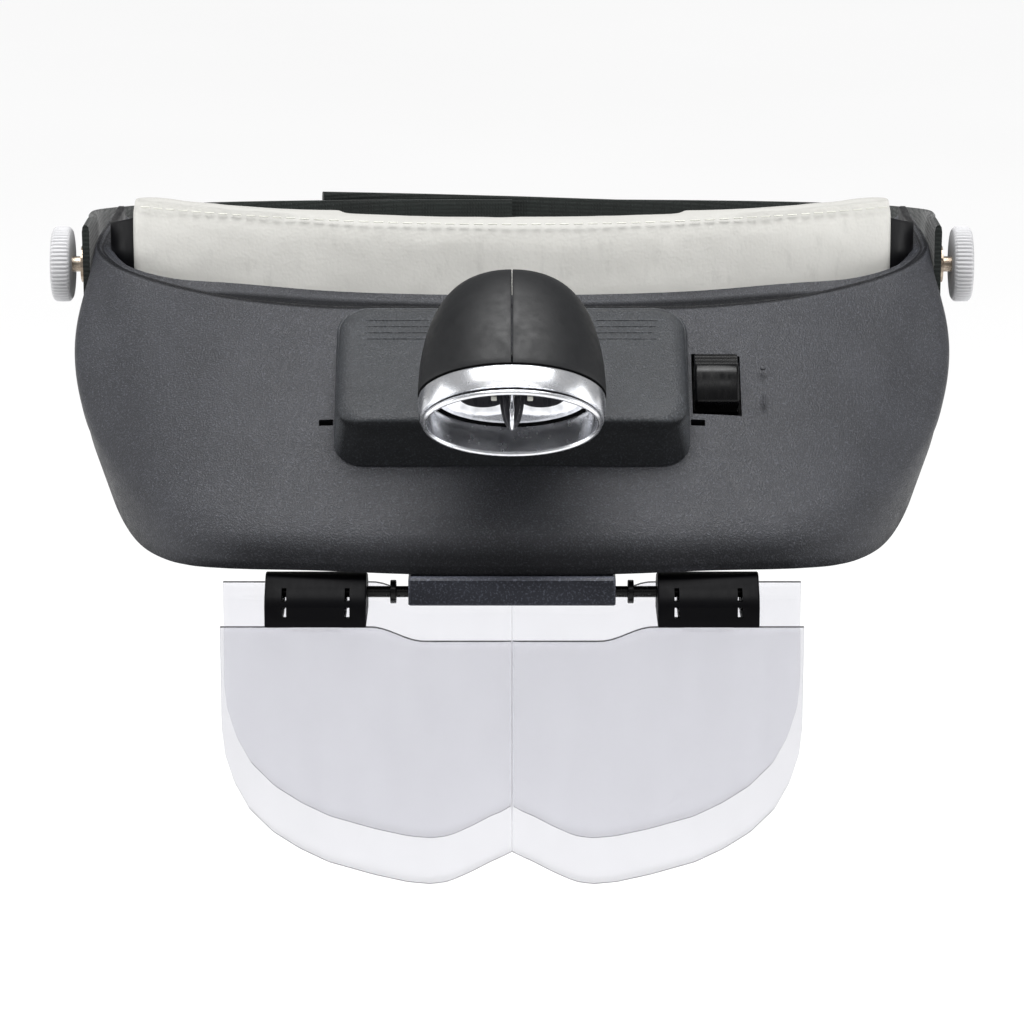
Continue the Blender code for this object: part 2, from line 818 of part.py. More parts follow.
def clip_outline():
    """The clip's end view about the shaft: a rounded top over a deep body that holds the plates."""
    points = [(-8.2, -6.2), (-8.2, -1.4), (-7.0, 0.8)]
    for i in range(6):
        angle = math.radians(140 - 20 * i)
        points.append((4.6 * math.cos(angle), 4.6 * math.sin(angle)))
    points += [(7.2, 2.4), (8.6, 0.8), (8.6, -6.2)]
    return [(SHAFT_Y + y * MM, SHAFT_Z + z * MM) for y, z in points]


def make_clip(side, word):
    low, high = sorted((side * CLIP_INNER_X, side * CLIP_OUTER_X))
    outline = [Vector((low, y, z)) for y, z in clip_outline()]
    clip = prism(f"lens_clip_{word}", outline, Vector((high - low, 0, 0)))
    tab_low, tab_high = sorted((side * (TAB_INNER_X - GAP), side * (TAB_OUTER_X + GAP)))
    half = PLATE_THICKNESS / 2 + 0.15 * MM
    bottom = -70 * MM
    front_low = Vector((tab_low, FRONT_PLATE_Y - half, bottom))
    front_high = Vector((tab_high, FRONT_PLATE_Y + half, FRONT_PLATE_TOP_Z + TAB_HEIGHT + GAP))
    boolean(clip, as_cutter(block(f"front_slot_{word}", front_low, front_high)))
    rear_low = Vector((low - 1 * MM, REAR_PLATE_Y - half, bottom))
    rear_high = Vector((high + 1 * MM, REAR_PLATE_Y + half, REAR_PLATE_TOP_Z + GAP))
    boolean(clip, as_cutter(block(f"rear_slot_{word}", rear_low, rear_high)))
    for column, x in enumerate((37.3 * MM, 51.6 * MM)):
        for row, (z_low, z_high) in enumerate(((-61.0 * MM, -58.8 * MM), (-57.7 * MM, -54.8 * MM))):
            window_low = Vector((side * x - 0.55 * MM, SHAFT_Y - 12 * MM, z_low))
            window_high = Vector((side * x + 0.55 * MM, SHAFT_Y + 12 * MM, z_high))
            window = block(f"clip_window_{word}_{column}{row}", window_low, window_high)
            boolean(clip, as_cutter(window))
    centre = Vector((0, SHAFT_Y, SHAFT_Z))
    reach = Vector((60 * MM, 0, 0))
    bore = rod(f"clip_bore_{word}", centre - reach, centre + reach, SHAFT_RADIUS + RUNNING_CLEARANCE, 32)
    boolean(clip, as_cutter(bore))
    finish_part(clip, (BLACK, 0.15))


def lens_half():
    """Half of a plate's lower outline in x and drop below its top edge: side, cheek and nose notch."""
    return [
        (66.2, 0),
        (66.2, 24),
        (64.3, 34.2),
        (60.6, 43.4),
        (54.8, 49),
        (42.2, 56.3),
        (31.8, 59.4),
        (19.6, 61.6),
        (14.6, 61.1),
        (9.6, 58.8),
        (1.6, 54.5),
    ]


def top_edge(tab_height):
    """A plate's top edge from its middle outwards in x and rise: a shallow dip, then a tab if it has one."""
    edge = [(20 * MM, -3.4 * MM), (32 * MM, 0.0)]
    if tab_height:
        edge += [(TAB_INNER_X, 0.0), (TAB_INNER_X, tab_height), (TAB_OUTER_X, tab_height), (TAB_OUTER_X, 0.0)]
    return edge


def make_plate(name, plate_y, top_z, tab_height):
    """A plate from its flat outline, run clockwise from its top right corner."""
    front = plate_y - PLATE_THICKNESS / 2
    lower = [(x * MM, -drop * MM) for x, drop in lens_half()]
    upper = top_edge(tab_height)
    outline = lower + [(-x, rise) for x, rise in reversed(lower)]
    outline += [(-x, rise) for x, rise in reversed(upper)] + upper
    points = [Vector((x, front, top_z + rise)) for x, rise in outline]
    finish_part(prism(name, points, Vector((0, PLATE_THICKNESS, 0))), (CLEAR, 0.04, 0.0, 0.9))


# Lamp


def lamp_frame():
    """Axes of the lamp: X across, Z out of the front along the beam."""
    return Matrix.Translation(LAMP_FRONT) @ Matrix.Rotation(math.pi / 2 + LAMP_ANGLE, 4, "X")


def lamp_ellipse(width, height, depth, angles):
    """Points on an upright ellipse at a depth behind the front."""
    frame = lamp_frame()
    return [frame @ Vector((width * math.cos(a), height * math.sin(a), -depth)) for a in angles]


def full_turn(count):
    return [math.tau * i / count for i in range(count)]


def dome_sizes():
    """Depth, half width and half height of the dome from the bezel back to its tip."""
    made = []
    for i in range(8):
        angle = math.radians(88 * i / 7)
        depth = BEZEL_LENGTH + GAP + 30 * MM * math.sin(angle)
        scale = math.cos(angle) ** 0.62
        made.append((depth, 20.9 * MM * scale, 15.6 * MM * scale))
    return made


def make_lamp_half(side, word):
    """Half of the dome, split on the middle plane, with its half of the pivot lug."""
    angles = [math.pi * (i / 12 - 0.5) for i in range(13)]
    rings = []
    for depth, width, height in dome_sizes():
        ring = lamp_ellipse(width, height, depth, angles)
        for point in ring:
            point.x += 0.15 * MM
        rings.append(ring)
    half = loft(f"lamp_shell_{word}", rings, closed_rings=False, caps="last")
    if side < 0:
        half.data.transform(Matrix.Diagonal((-1, 1, 1, 1)))
        half.data.flip_normals()
    solidify(half, 1.5 * MM, -1.0)
    lug = lamp_lug(side)
    boolean(half, as_cutter(lug), "UNION")
    reach = Vector((12 * MM, 0, 0))
    radius = LAMP_PIN_RADIUS + RUNNING_CLEARANCE
    bore = rod(f"lug_bore_{word}", LAMP_PIVOT - reach, LAMP_PIVOT + reach, radius)
    boolean(half, as_cutter(bore))
    finish_part(half, ((52, 54, 58), 0.35))


def lamp_lug(side):
    """Half of the lug that reaches from the dome's underside to the pin."""
    radius = 3.2 * MM
    back_down = Vector((0, math.sin(LAMP_ANGLE), -math.cos(LAMP_ANGLE)))
    along = Vector((0, math.cos(LAMP_ANGLE), math.sin(LAMP_ANGLE)))
    outline = []
    for i in range(9):
        angle = math.radians(-90 + 180 * i / 8)
        outline.append(LAMP_PIVOT + radius * (math.cos(angle) * back_down + math.sin(angle) * along))
    outline.append(LAMP_PIVOT + radius * along - 5.8 * MM * back_down)
    outline.append(LAMP_PIVOT - radius * along - 5.8 * MM * back_down)
    points = [point + Vector((side * 0.15 * MM, 0, 0)) for point in outline]
    return prism(f"lamp_lug_{'left' if side > 0 else 'right'}", points, Vector((side * 2.85 * MM, 0, 0)))


def make_bezel():
    """A chrome ring, slightly flared towards the front."""
    angles = full_turn(36)
    sections = ((0.0, 20.2, 15.2), (1.0, 20.6, 15.6), (7.0, 20.9, 15.8), (7.0, 18.4, 13.4), (0.6, 18.9, 13.9))
    rings = [lamp_ellipse(w * MM, h * MM, d * MM, angles) for d, w, h in sections]
    bezel = loft("lamp_bezel", rings, joined_ends=True)
    finish_part(bezel, ((215, 216, 220), 0.08, 1.0))


def make_reflector():
    """A bright bowl behind the bezel with a hole for each LED."""
    angles = full_turn(32)
    sections = ((7.4, 18.2, 13.2), (9.5, 17.2, 12.3), (12.0, 14.8, 10.4), (14.0, 11.6, 7.6))
    inner = [(d, w - 0.9, h - 0.9) for d, w, h in sections[:-1]]
    inner.append((13.1, sections[-1][1] - 1.2, sections[-1][2] - 1.2))
    rings = [lamp_ellipse(w * MM, h * MM, d * MM, angles) for d, w, h in reversed(sections)]
    rings += [lamp_ellipse(w * MM, h * MM, d * MM, angles) for d, w, h in inner]
    bowl = loft("lamp_reflector", rings, caps="first last")
    frame = lamp_frame()
    for side in (1, -1):
        start = frame @ Vector((side * 6.5 * MM, 0, -16 * MM))
        end = frame @ Vector((side * 6.5 * MM, 0, -11 * MM))
        boolean(bowl, as_cutter(rod(f"led_hole_{side}", start, end, 2.9 * MM)))
    finish_part(bowl, ((220, 221, 225), 0.08, 1.0))


def make_leds():
    frame = lamp_frame()
    low, high = mm(-10, -5.5, -15.9), mm(10, 5.5, -14.9)
    finish_part(block("led_board", low, high, frame), ((40, 90, 60), 0.5))
    for side, word in ((1, "left"), (-1, "right")):
        profile = [(0, 5.6 * MM)]
        for i in range(1, 5):
            angle = math.radians(90 - 22.5 * i)
            profile.append((2.5 * MM * math.cos(angle), 3.1 * MM + 2.5 * MM * math.sin(angle)))
        profile += [(2.5 * MM, 0), (0, 0)]
        place = frame @ Matrix.Translation(mm(side * 6.5, 0, -14.6))
        finish_part(turned(f"led_{word}", profile, place, 20), ((240, 240, 232), 0.1, 0.0, 0.6))


def make_lamp_pin():
    reach = Vector((6.6 * MM, 0, 0))
    pin = rod("lamp_pin", LAMP_PIVOT - reach, LAMP_PIVOT + reach, LAMP_PIN_RADIUS)
    finish_part(pin, ((160, 160, 165), 0.3, 1.0))


def pivot_empty(name, place, children):
    """An empty on a joint's axis, with the pieces that turn or slide there as its children."""
    empty = bpy.data.objects.new(name, None)
    empty.location = place
    PARTS.objects.link(empty)
    for child in children:
        obj = PARTS.objects[child]
        obj.parent = empty
        obj.matrix_parent_inverse = Matrix.Translation(-Vector(place))


def add_pivots():
    hood = ["visor_shell", "hinge_block", "battery_box", "battery_tray", "cell_upper", "cell_lower"]
    hood += ["contact_bridge", "terminal_upper", "terminal_lower", "contact_spring_upper"]
    hood += ["contact_spring_lower", "switch_body", "lamp_pin"]
    pivot_empty("visor_tilt_axis", (0, 0, 0), hood)
    pivot_empty("knob_left_axis", (KNOB_INNER_X, 0, 0), ["knob_left"])
    pivot_empty("knob_right_axis", (-KNOB_INNER_X, 0, 0), ["knob_right"])
    shaft = (0, SHAFT_Y, SHAFT_Z)
    carrier = ["lens_shaft", "retaining_ring_left", "retaining_ring_right"]
    pivot_empty("lens_flip_axis", shaft, [*carrier, "lens_clip_left", "lens_clip_right"])
    pivot_empty("front_plate_slide", (0, FRONT_PLATE_Y, FRONT_PLATE_TOP_Z), ["lens_plate_front"])
    pivot_empty("rear_plate_slide", (0, REAR_PLATE_Y, REAR_PLATE_TOP_Z), ["lens_plate_rear"])
    lamp = ["lamp_shell_left", "lamp_shell_right", "lamp_bezel", "lamp_reflector"]
    pivot_empty("lamp_tilt_axis", LAMP_PIVOT, [*lamp, "led_board", "led_left", "led_right"])
    pivot_empty("door_slide", on_slope(0, TRAY_NEAR_V, TRAY_BOTTOM_N), ["battery_door"])
    pivot_empty("switch_slide", on_slope(47.5 * MM, 14 * MM, 0), ["switch_knob"])


def main():
    make_headband_frame()
    make_forehead_pad()
    make_straps()
    make_hood()
    make_hinge_block()
    make_battery_box()
    make_battery_tray()
    make_battery_door()
    make_cell("cell_upper", CELL_UPPER_V, 1)
    make_cell("cell_lower", CELL_LOWER_V, -1)
    make_contacts()
    make_switch()
    make_shaft()
    for side, word in ((1, "left"), (-1, "right")):
        make_pivot(side, word)
        make_clip(side, word)
        make_lamp_half(side, word)
    make_plate("lens_plate_front", FRONT_PLATE_Y, FRONT_PLATE_TOP_Z, TAB_HEIGHT)
    make_plate("lens_plate_rear", REAR_PLATE_Y, REAR_PLATE_TOP_Z, 0.0)
    make_bezel()
    make_reflector()
    make_leds()
    make_lamp_pin()
    add_pivots()


main()
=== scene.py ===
"""Looks for the head visor magnifier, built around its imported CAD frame.

The frame's origin is midway between the two tilt knobs. +X is the wearer's left, -Y is the way the
wearer looks and +Z is up. Lengths are in metres, and mm() turns millimetres into them.
"""

import math

import bmesh
import bpy
from mathutils import Matrix, Vector, noise


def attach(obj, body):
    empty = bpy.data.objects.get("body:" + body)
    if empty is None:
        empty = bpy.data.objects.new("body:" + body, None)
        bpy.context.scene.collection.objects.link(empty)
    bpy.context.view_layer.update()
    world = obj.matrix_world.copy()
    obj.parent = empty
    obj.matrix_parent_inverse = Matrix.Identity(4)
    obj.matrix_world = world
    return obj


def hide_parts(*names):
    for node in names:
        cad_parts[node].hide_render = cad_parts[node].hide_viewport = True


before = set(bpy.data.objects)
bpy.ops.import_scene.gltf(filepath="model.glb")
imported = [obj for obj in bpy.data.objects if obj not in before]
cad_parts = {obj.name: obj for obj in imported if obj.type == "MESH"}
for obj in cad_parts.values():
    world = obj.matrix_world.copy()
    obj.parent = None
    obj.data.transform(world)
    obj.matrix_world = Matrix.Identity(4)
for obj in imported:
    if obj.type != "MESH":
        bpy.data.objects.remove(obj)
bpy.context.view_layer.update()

MM = 0.001
SIDES = ((1, "left"), (-1, "right"))

# Driving sizes, the same as the CAD's
CREST_Y = -45.0 * MM
CREST_Z = -1.4 * MM
SLOPE = math.radians(41.0)
SHELL_WALL = 2.2 * MM
SCREW_RADIUS = 1.9 * MM
BAND_THICKNESS = 2.0 * MM
BAND_SIDE_X = 97.3
PAD_TOP_Z = 15.6 * MM
PAD_TOP_RISE = 2.4 * MM
PAD_BOTTOM_Z = -18.0 * MM
PAD_HALF_THICKNESS = 4.75 * MM
PAD_HALF_LENGTH = 92.5 * MM
PAD_ROUNDING = 5.0 * MM
STRAP_SIDE_X = 103.8
STRAP_WIDTH = 25.0 * MM
STRAP_THICKNESS = 1.8 * MM
STRAP_TOP_Z = 11.6 * MM
STRAP_DROOP = 0.155
STRAP_LAP = 3.2 * MM
RIGHT_TAIL_X = 0.5 * MM
LEFT_TAIL_X = -54.5 * MM
TAIL_LIFT = 2.4 * MM
KNOB_INNER_X = 108.2 * MM
KNOB_OUTER_X = 113.0 * MM
FRONT_PLATE_Y = -98.0 * MM
REAR_PLATE_Y = -86.0 * MM
FRONT_PLATE_TOP_Z = -64.0 * MM
REAR_PLATE_TOP_Z = -56.8 * MM
PLATE_THICKNESS = 2.2 * MM
SHAFT = Vector((0.0, -92.0 * MM, -57.4 * MM))
LAMP_FRONT = Vector((0.0, -105.0 * MM, -15.4 * MM))
LAMP_ANGLE = math.radians(48.0)
LAMP_PIVOT = Vector((0.0, -75.6 * MM, -11.2 * MM))
LAMP_PIN_RADIUS = 1.2 * MM
BEZEL_LENGTH = 7.0 * MM
LED_X = 6.5 * MM

# Camera, matched to the view from the front and a little above
CAMERA_ELEVATION = math.radians(15.0)
CAMERA_PLACE = Vector((0.0, -0.9576, 0.1933))
CAMERA_LENS = 139.1
FLOOR_Z = -0.30


def mm(*values):
    return Vector([value * MM for value in values])


# Geometry helpers


def smooth(points, count):
    """Points evenly spaced in parameter on a Catmull-Rom curve through the given ones."""
    ends = [2 * points[0] - points[1], *points, 2 * points[-1] - points[-2]]
    made = []
    for k in range(count):
        place = k / (count - 1) * (len(points) - 1)
        i = min(int(place), len(points) - 2)
        t = place - i
        a, b, c, d = ends[i : i + 4]
        line = 2 * b + (c - a) * t
        bend = (2 * a - 5 * b + 4 * c - d) * t**2 + (3 * b - a - 3 * c + d) * t**3
        made.append(0.5 * (line + bend))
    return made


def mirrored_path(half):
    """A whole plan curve from one half that starts on the middle plane."""
    left = [Vector((-point.x, *point[1:])) for point in reversed(half[1:])]
    return left + half


def full_turn(count):
    return [math.tau * i / count for i in range(count)]


def circle(place, radius, height, count):
    """Points round the Z axis of the place given."""
    points = []
    for angle in full_turn(count):
        points.append(place @ Vector((radius * math.cos(angle), radius * math.sin(angle), height)))
    return points


def direction_at(path, k):
    return (path[min(k + 1, len(path) - 1)] - path[max(k - 1, 0)]).normalized()


def fillet(before, corner, after, radius, steps):
    """Points on a soft corner from radius before it to radius after it."""
    start = corner + (before - corner).normalized() * radius
    end = corner + (after - corner).normalized() * radius
    made = []
    for i in range(steps + 1):
        t = i / steps
        made.append(start.lerp(corner, t).lerp(corner.lerp(end, t), t))
    return made


def new_object(name, bm, recalculate=True):
    if recalculate:
        bmesh.ops.recalc_face_normals(bm, faces=bm.faces)
        closed = all(edge.is_manifold for edge in bm.edges)
        if closed and bm.calc_volume(signed=True) < 0:
            bmesh.ops.reverse_faces(bm, faces=bm.faces)
    mesh = bpy.data.meshes.new(name)
    bm.to_mesh(mesh)
    bm.free()
    obj = bpy.data.objects.new(name, mesh)
    bpy.context.scene.collection.objects.link(obj)
    return obj


def add_skin(bm, rings, closed_rings=True, caps="first last"):
    """Adds a skin over rings of points that match one to one, capped or joined end to end."""
    rows = [[bm.verts.new(point) for point in ring] for ring in rings]
    pairs = list(zip(rows, rows[1:]))
    if caps == "joined":
        pairs.append((rows[-1], rows[0]))
    for first, second in pairs:
        count = len(first) if closed_rings else len(first) - 1
        for i in range(count):
            j = (i + 1) % len(first)
            bm.faces.new((first[i], first[j], second[j], second[i]))
    if "first" in caps:
        bm.faces.new(rows[0])
    if "last" in caps:
        bm.faces.new(rows[-1])


def loft(name, rings, closed_rings=True, caps="first last"):
    bm = bmesh.new()
    add_skin(bm, rings, closed_rings, caps)
    return new_object(name, bm)


def block(name, low, high, place=None):
    bm = bmesh.new()
    bmesh.ops.create_cube(bm, size=1.0)
    bmesh.ops.scale(bm, vec=high - low, verts=bm.verts)
    bmesh.ops.translate(bm, vec=(low + high) / 2, verts=bm.verts)
    if place:
        bm.transform(place)
    return new_object(name, bm)


def rod(name, start, end, radius, sides=32):
    bm = bmesh.new()
    axis = end - start
    bmesh.ops.create_cone(
        bm, cap_ends=True, segments=sides, radius1=radius, radius2=radius, depth=axis.length
    )
    turn = Vector((0, 0, 1)).rotation_difference(axis).to_matrix().to_4x4()
    bm.transform(Matrix.Translation((start + end) / 2) @ turn)
    return new_object(name, bm)


def turned(name, profile, place, steps):
    """A profile of (radius, height) pairs turned about its own Z, closed on its axis."""
    return loft(name, [circle(place, radius, height, steps) for radius, height in profile])


def apply_modifiers(obj):
    """Turns what the modifiers make into the object's own mesh."""
    graph = bpy.context.evaluated_depsgraph_get()
    graph.update()
    made = bpy.data.meshes.new_from_object(obj.evaluated_get(graph))
    obj.modifiers.clear()
    obj.data = made
    return obj


def modify(obj, kind, **settings):
    """Adds a modifier with these settings and applies it."""
    modifier = obj.modifiers.new(kind.lower(), kind)
    for setting, value in settings.items():
        setattr(modifier, setting, value)
    return apply_modifiers(obj)


def solidify(obj, thickness, offset):
    return modify(obj, "SOLIDIFY", thickness=thickness, offset=offset, use_even_offset=True)


def bevel(obj, width, segments=3, angle=35):
    limit = math.radians(angle)
    return modify(obj, "BEVEL", width=width, segments=segments, limit_method="ANGLE", angle_limit=limit)


def subdivide(obj):
    return modify(obj, "SUBSURF", levels=1, render_levels=1)


def boolean(obj, others, operation="DIFFERENCE"):
    """Cuts or joins the others, which are used up."""
    for other in others:
        modifier = obj.modifiers.new(other.name, "BOOLEAN")
        modifier.operation = operation
        modifier.object = other
        modifier.solver = "EXACT"
    apply_modifiers(obj)
    for other in others:
        bpy.data.objects.remove(other, do_unlink=True)
    return obj


DRILL_REACH = 125.0 * MM


def drill(obj, centre, reach, radius):
    """Bores a hole along X through the centre, this far each way."""
    along = Vector((reach, 0, 0))
    return boolean(obj, [rod("bore", centre - along, centre + along, radius)])


def shade(obj, angle=35):
    obj.data.shade_smooth()
    obj.data.set_sharp_from_angle(angle=math.radians(angle))
    return obj


def piece(obj, body, slot, look, *nodes):
    """Paints obj, puts it on its body and has it stand for the CAD nodes named."""
    obj.data.materials.clear()
    obj.data.materials.append(look)
    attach(obj, body)
    if nodes:
        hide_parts(*nodes)
    return obj


def dress(look, *nodes):
    """Gives carried-over CAD nodes their finished material."""
    for name in nodes:
        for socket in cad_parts[name].material_slots:
            socket.material = look


def refined(node, name, body, slot, look, width, segments=2, angle=30):
    """A copy of a CAD node with its flat faces whole again and its edges softened."""
    bm = bmesh.new()
    bm.from_mesh(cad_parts[node].data)
    bmesh.ops.remove_doubles(bm, verts=bm.verts, dist=0.00001)
    bmesh.ops.dissolve_limit(bm, angle_limit=math.radians(1.5), verts=bm.verts, edges=bm.edges)
    obj = bevel(new_object(name, bm), width, segments, angle)
    return piece(shade(obj), body, slot, look, node)


# Materials


def linear(channel):
    value = channel / 255
    return value / 12.92 if value <= 0.04045 else ((value + 0.055) / 1.055) ** 2.4


def rgba(colour):
    return (*[linear(channel) for channel in colour], 1.0)


def scaled(colour, factor):
    return tuple(min(255, channel * factor) for channel in colour)


class Paint:
    """A Principled material whose patterns lie on the object's own coordinates, in metres."""

    def __init__(self, name, metallic=0.0, **inputs):
        self.material = bpy.data.materials.new(name)
        self.material.use_nodes = True
        self.tree = self.material.node_tree
        self.shader = self.tree.nodes["Principled BSDF"]
        self.shader.inputs["Metallic"].default_value = metallic
        for socket, value in inputs.items():
            self.shader.inputs[socket.replace("_", " ")].default_value = value
        self.coordinates = self.node("ShaderNodeTexCoord")
        self.place = self.coordinates.outputs["Object"]
        self.normal = None

    def node(self, kind, **settings):
        made = self.tree.nodes.new(kind)
        for setting, value in settings.items():
            setattr(made, setting, value)
        return made

    def link(self, source, target):
        self.tree.links.new(source, target)

    def stretched(self, scale):
        """Object coordinates, scaled along each axis."""
        mapping = self.node("ShaderNodeMapping")
        mapping.inputs["Scale"].default_value = scale
        self.link(self.place, mapping.inputs["Vector"])
        return mapping.outputs["Vector"]

    def noise(self, size, detail=2.0, roughness=0.5, stretch=None):
        """Noise whose blotches are about one size across."""
        made = self.node("ShaderNodeTexNoise")
        made.inputs["Scale"].default_value = 1 / size
        made.inputs["Detail"].default_value = detail
        made.inputs["Roughness"].default_value = roughness
        self.link(self.stretched(stretch) if stretch else self.place, made.inputs["Vector"])
        return made.outputs["Fac"]

    def cells(self, size, feature="F1", stretch=None):
        made = self.node("ShaderNodeTexVoronoi", feature=feature)
        made.inputs["Scale"].default_value = 1 / size
        self.link(self.stretched(stretch) if stretch else self.place, made.inputs["Vector"])
        return made.outputs["Distance"]

    def stripes(self, size, axis, distortion=0.0):
        made = self.node("ShaderNodeTexWave", wave_type="BANDS", bands_direction=axis)
        made.inputs["Scale"].default_value = math.tau / 20 / size
        made.inputs["Distortion"].default_value = distortion
        self.link(self.place, made.inputs["Vector"])
        return made.outputs["Fac"]

    def ramp(self, source, low, high, start=0.0, end=1.0):
        """Maps start..end of the source to low..high."""
        made = self.node("ShaderNodeMapRange")
        self.link(source, made.inputs["Value"])
        for socket, value in zip(("From Min", "From Max", "To Min", "To Max"), (start, end, low, high)):
            made.inputs[socket].default_value = value
        return made.outputs["Result"]

    def math(self, operation, first, second):
        made = self.node("ShaderNodeMath", operation=operation)
        for socket, value in zip(made.inputs, (first, second)):
            if isinstance(value, (int, float)):
                socket.default_value = value
            else:
                self.link(value, socket)
        return made.outputs["Value"]

    def mix(self, factor, first, second):
        """A colour between two, each an 8-bit colour or a socket."""
        made = self.node("ShaderNodeMix", data_type="RGBA")
        self.link(factor, made.inputs["Factor"])
        for socket, value in ((made.inputs[6], first), (made.inputs[7], second)):
            if isinstance(value, tuple):
                socket.default_value = rgba(value)
            else:
                self.link(value, socket)
        return made.outputs[2]

    def colour(self, source):
        if isinstance(source, tuple):
            self.shader.inputs["Base Color"].default_value = rgba(source)
        else:
            self.link(source, self.shader.inputs["Base Color"])

    def split(self, kind):
        """The X, Y and Z of the object's coordinates or normals."""
        made = self.node("ShaderNodeSeparateXYZ")
        self.link(self.coordinates.outputs[kind], made.inputs["Vector"])
        return made.outputs

    def patches(self, start, end, size, detail, roughness=0.5):
        """Noise that goes from 0 to 1 between start and end."""
        return self.ramp(self.noise(size, detail, roughness), 0.0, 1.0, start, end)

    def shades(self, factor, colour, low, high):
        """A colour between two shades of one colour."""
        return self.mix(factor, scaled(colour, low), scaled(colour, high))

    def multiplied(self, colour, factor):
        made = self.node("ShaderNodeMix", data_type="RGBA", blend_type="MULTIPLY")
        made.inputs["Factor"].default_value = 1.0
        self.link(colour, made.inputs[6])
        made.inputs[7].default_value = (factor, factor, factor, 1.0)
        return made.outputs[2]

    def painted_shade(self, colour, factor, shaded_ledges):
        """The colour with painted shade: darker, with less specular shine, on front and lower faces, and
        on request on ledges that face straight up.
        """
        normal = self.split("Normal")
        sideways = self.math("POWER", normal["X"], 2.0)
        facing = self.math("ADD", normal["Z"], self.math("MULTIPLY", sideways, 0.6))
        low = self.ramp(facing, 1.0, 0.0, 0.22, 0.55)
        if shaded_ledges:
            low = self.math("MAXIMUM", low, self.ramp(normal["Z"], 0.0, 1.0, 0.88, 0.95))
        shine = self.math("SUBTRACT", 0.3, self.math("MULTIPLY", low, 0.24))
        self.link(shine, self.shader.inputs["Specular IOR Level"])
        return self.mix(low, colour, self.multiplied(colour, factor))

    def rough(self, source, low, high, start=0.3, end=0.7):
        """Maps start..end of the source to a roughness of low..high."""
        self.link(self.ramp(source, low, high, start, end), self.shader.inputs["Roughness"])

    def bump(self, height, depth, strength=1.0):
        """Adds relief of about this depth, in metres, on top of what is there."""
        made = self.node("ShaderNodeBump")
        made.inputs["Strength"].default_value = strength
        made.inputs["Distance"].default_value = depth
        self.link(height, made.inputs["Height"])
        if self.normal:
            self.link(self.normal, made.inputs["Normal"])
        self.normal = made.outputs["Normal"]
        self.link(self.normal, self.shader.inputs["Normal"])

    def worn_and_highlit(self, colour, factor, start=0.53, end=0.6):
        """The colour, lighter along outer edges: where handling rubs the surface, and a painted
        highlight along them.
        """
        edge = self.node("ShaderNodeNewGeometry").outputs["Pointiness"]
        return self.mix(self.ramp(edge, 0.0, 1.0, start, end), colour, self.multiplied(colour, factor))


def grained_plastic(name, colour, grain, depth, roughness=0.5, shaded_ledges=False):
    """Spark-textured moulded plastic: a fine pebble with painted glints as bright specks on its peaks,
    slight blotches, edges lighter for rubbing and a painted highlight, and painted shade on front and
    lower faces.
    """
    paint = Paint(name, Specular_IOR_Level=0.25)
    fine = paint.noise(grain, 2, 0.6)
    base = paint.shades(paint.patches(0.35, 0.7, 14 * MM, 3), colour, 0.94, 1.06)
    # Bright specks where the fine pebble stands highest: painted glints.
    glint_specks = paint.ramp(fine, 0.0, 0.8, 0.52, 0.72)
    base = paint.mix(glint_specks, base, scaled(colour, 1.7))
    paint.colour(paint.painted_shade(paint.worn_and_highlit(base, 1.6), 0.3, shaded_ledges))
    paint.rough(paint.noise(2.5 * MM, 3), roughness - 0.07, roughness + 0.08)
    paint.bump(fine, depth)
    paint.bump(paint.noise(7 * MM, 2), depth * 0.5, 0.3)
    return paint.material


def satin_plastic(name, colour, roughness, scratches=0.25, shine=0.2):
    """Smooth moulded plastic with faint flow marks, fine scuffs, and edges lighter for rubbing and a
    painted highlight.
    """
    paint = Paint(name, Specular_IOR_Level=shine)
    flow = paint.patches(0.3, 0.7, 22 * MM, 3, 0.55)
    paint.colour(paint.worn_and_highlit(paint.shades(flow, colour, 0.93, 1.07), 1.3))
    scuffs = paint.noise(1.2 * MM, 4, 0.7, (1.0, 0.22, 0.22))
    paint.rough(scuffs, roughness * (1 - scratches), roughness * (1 + scratches), 0.35, 0.65)
    paint.bump(scuffs, 0.006 * MM, 0.5)
    paint.bump(paint.noise(9 * MM, 2), 0.05 * MM, 0.25)
    return paint.material


def brushed_metal(name, colour, roughness, tarnish, grain=0.35 * MM):
    """Turned or drawn metal with fine lines and darker tarnished patches."""
    paint = Paint(name, metallic=1.0)
    paint.colour(paint.mix(paint.patches(0.4, 0.68, 3 * MM, 4, 0.6), colour, tarnish))
    lines = paint.noise(grain, 3, 0.6, (0.25, 1.0, 1.0))
    paint.rough(lines, roughness * 0.7, roughness * 1.4)
    paint.bump(lines, 0.01 * MM, 0.6)
    return paint.material


def chrome(name, roughness):
    """Vacuum-plated plastic: mirror bright, slightly wavy, with faint haze."""
    paint = Paint(name, metallic=1.0)
    haze = paint.noise(2.2 * MM, 3, 0.6)
    paint.colour(paint.mix(paint.ramp(haze, 0.0, 1.0, 0.35, 0.7), (236, 237, 240), (212, 214, 219)))
    paint.rough(haze, roughness * 0.85, roughness * 1.2)
    paint.bump(paint.noise(3.5 * MM, 2), 0.03 * MM, 0.35)
    return paint.material


def acrylic(name, colour):
    """Clear moulded acrylic with a faint cool tint, a light haze and wiping marks."""
    paint = Paint(name, Transmission_Weight=0.95, IOR=1.49)
    marks = paint.noise(6 * MM, 4, 0.65, (1.0, 1.0, 0.3))
    paint.colour(paint.mix(paint.ramp(marks, 0.0, 1.0, 0.35, 0.7), colour, scaled(colour, 0.985)))
    off_seam = paint.math("ABSOLUTE", paint.split("Object")["X"], 0.0)
    seam = paint.ramp(off_seam, 0.5, 0.0, 0.1 * MM, 0.32 * MM)
    hazy = paint.math("MAXIMUM", seam, paint.ramp(marks, 0.0, 0.035, 0.45, 0.75))
    paint.link(hazy, paint.shader.inputs["Roughness"])
    paint.bump(paint.noise(18 * MM, 2), 0.05 * MM, 0.3)
    return paint.material


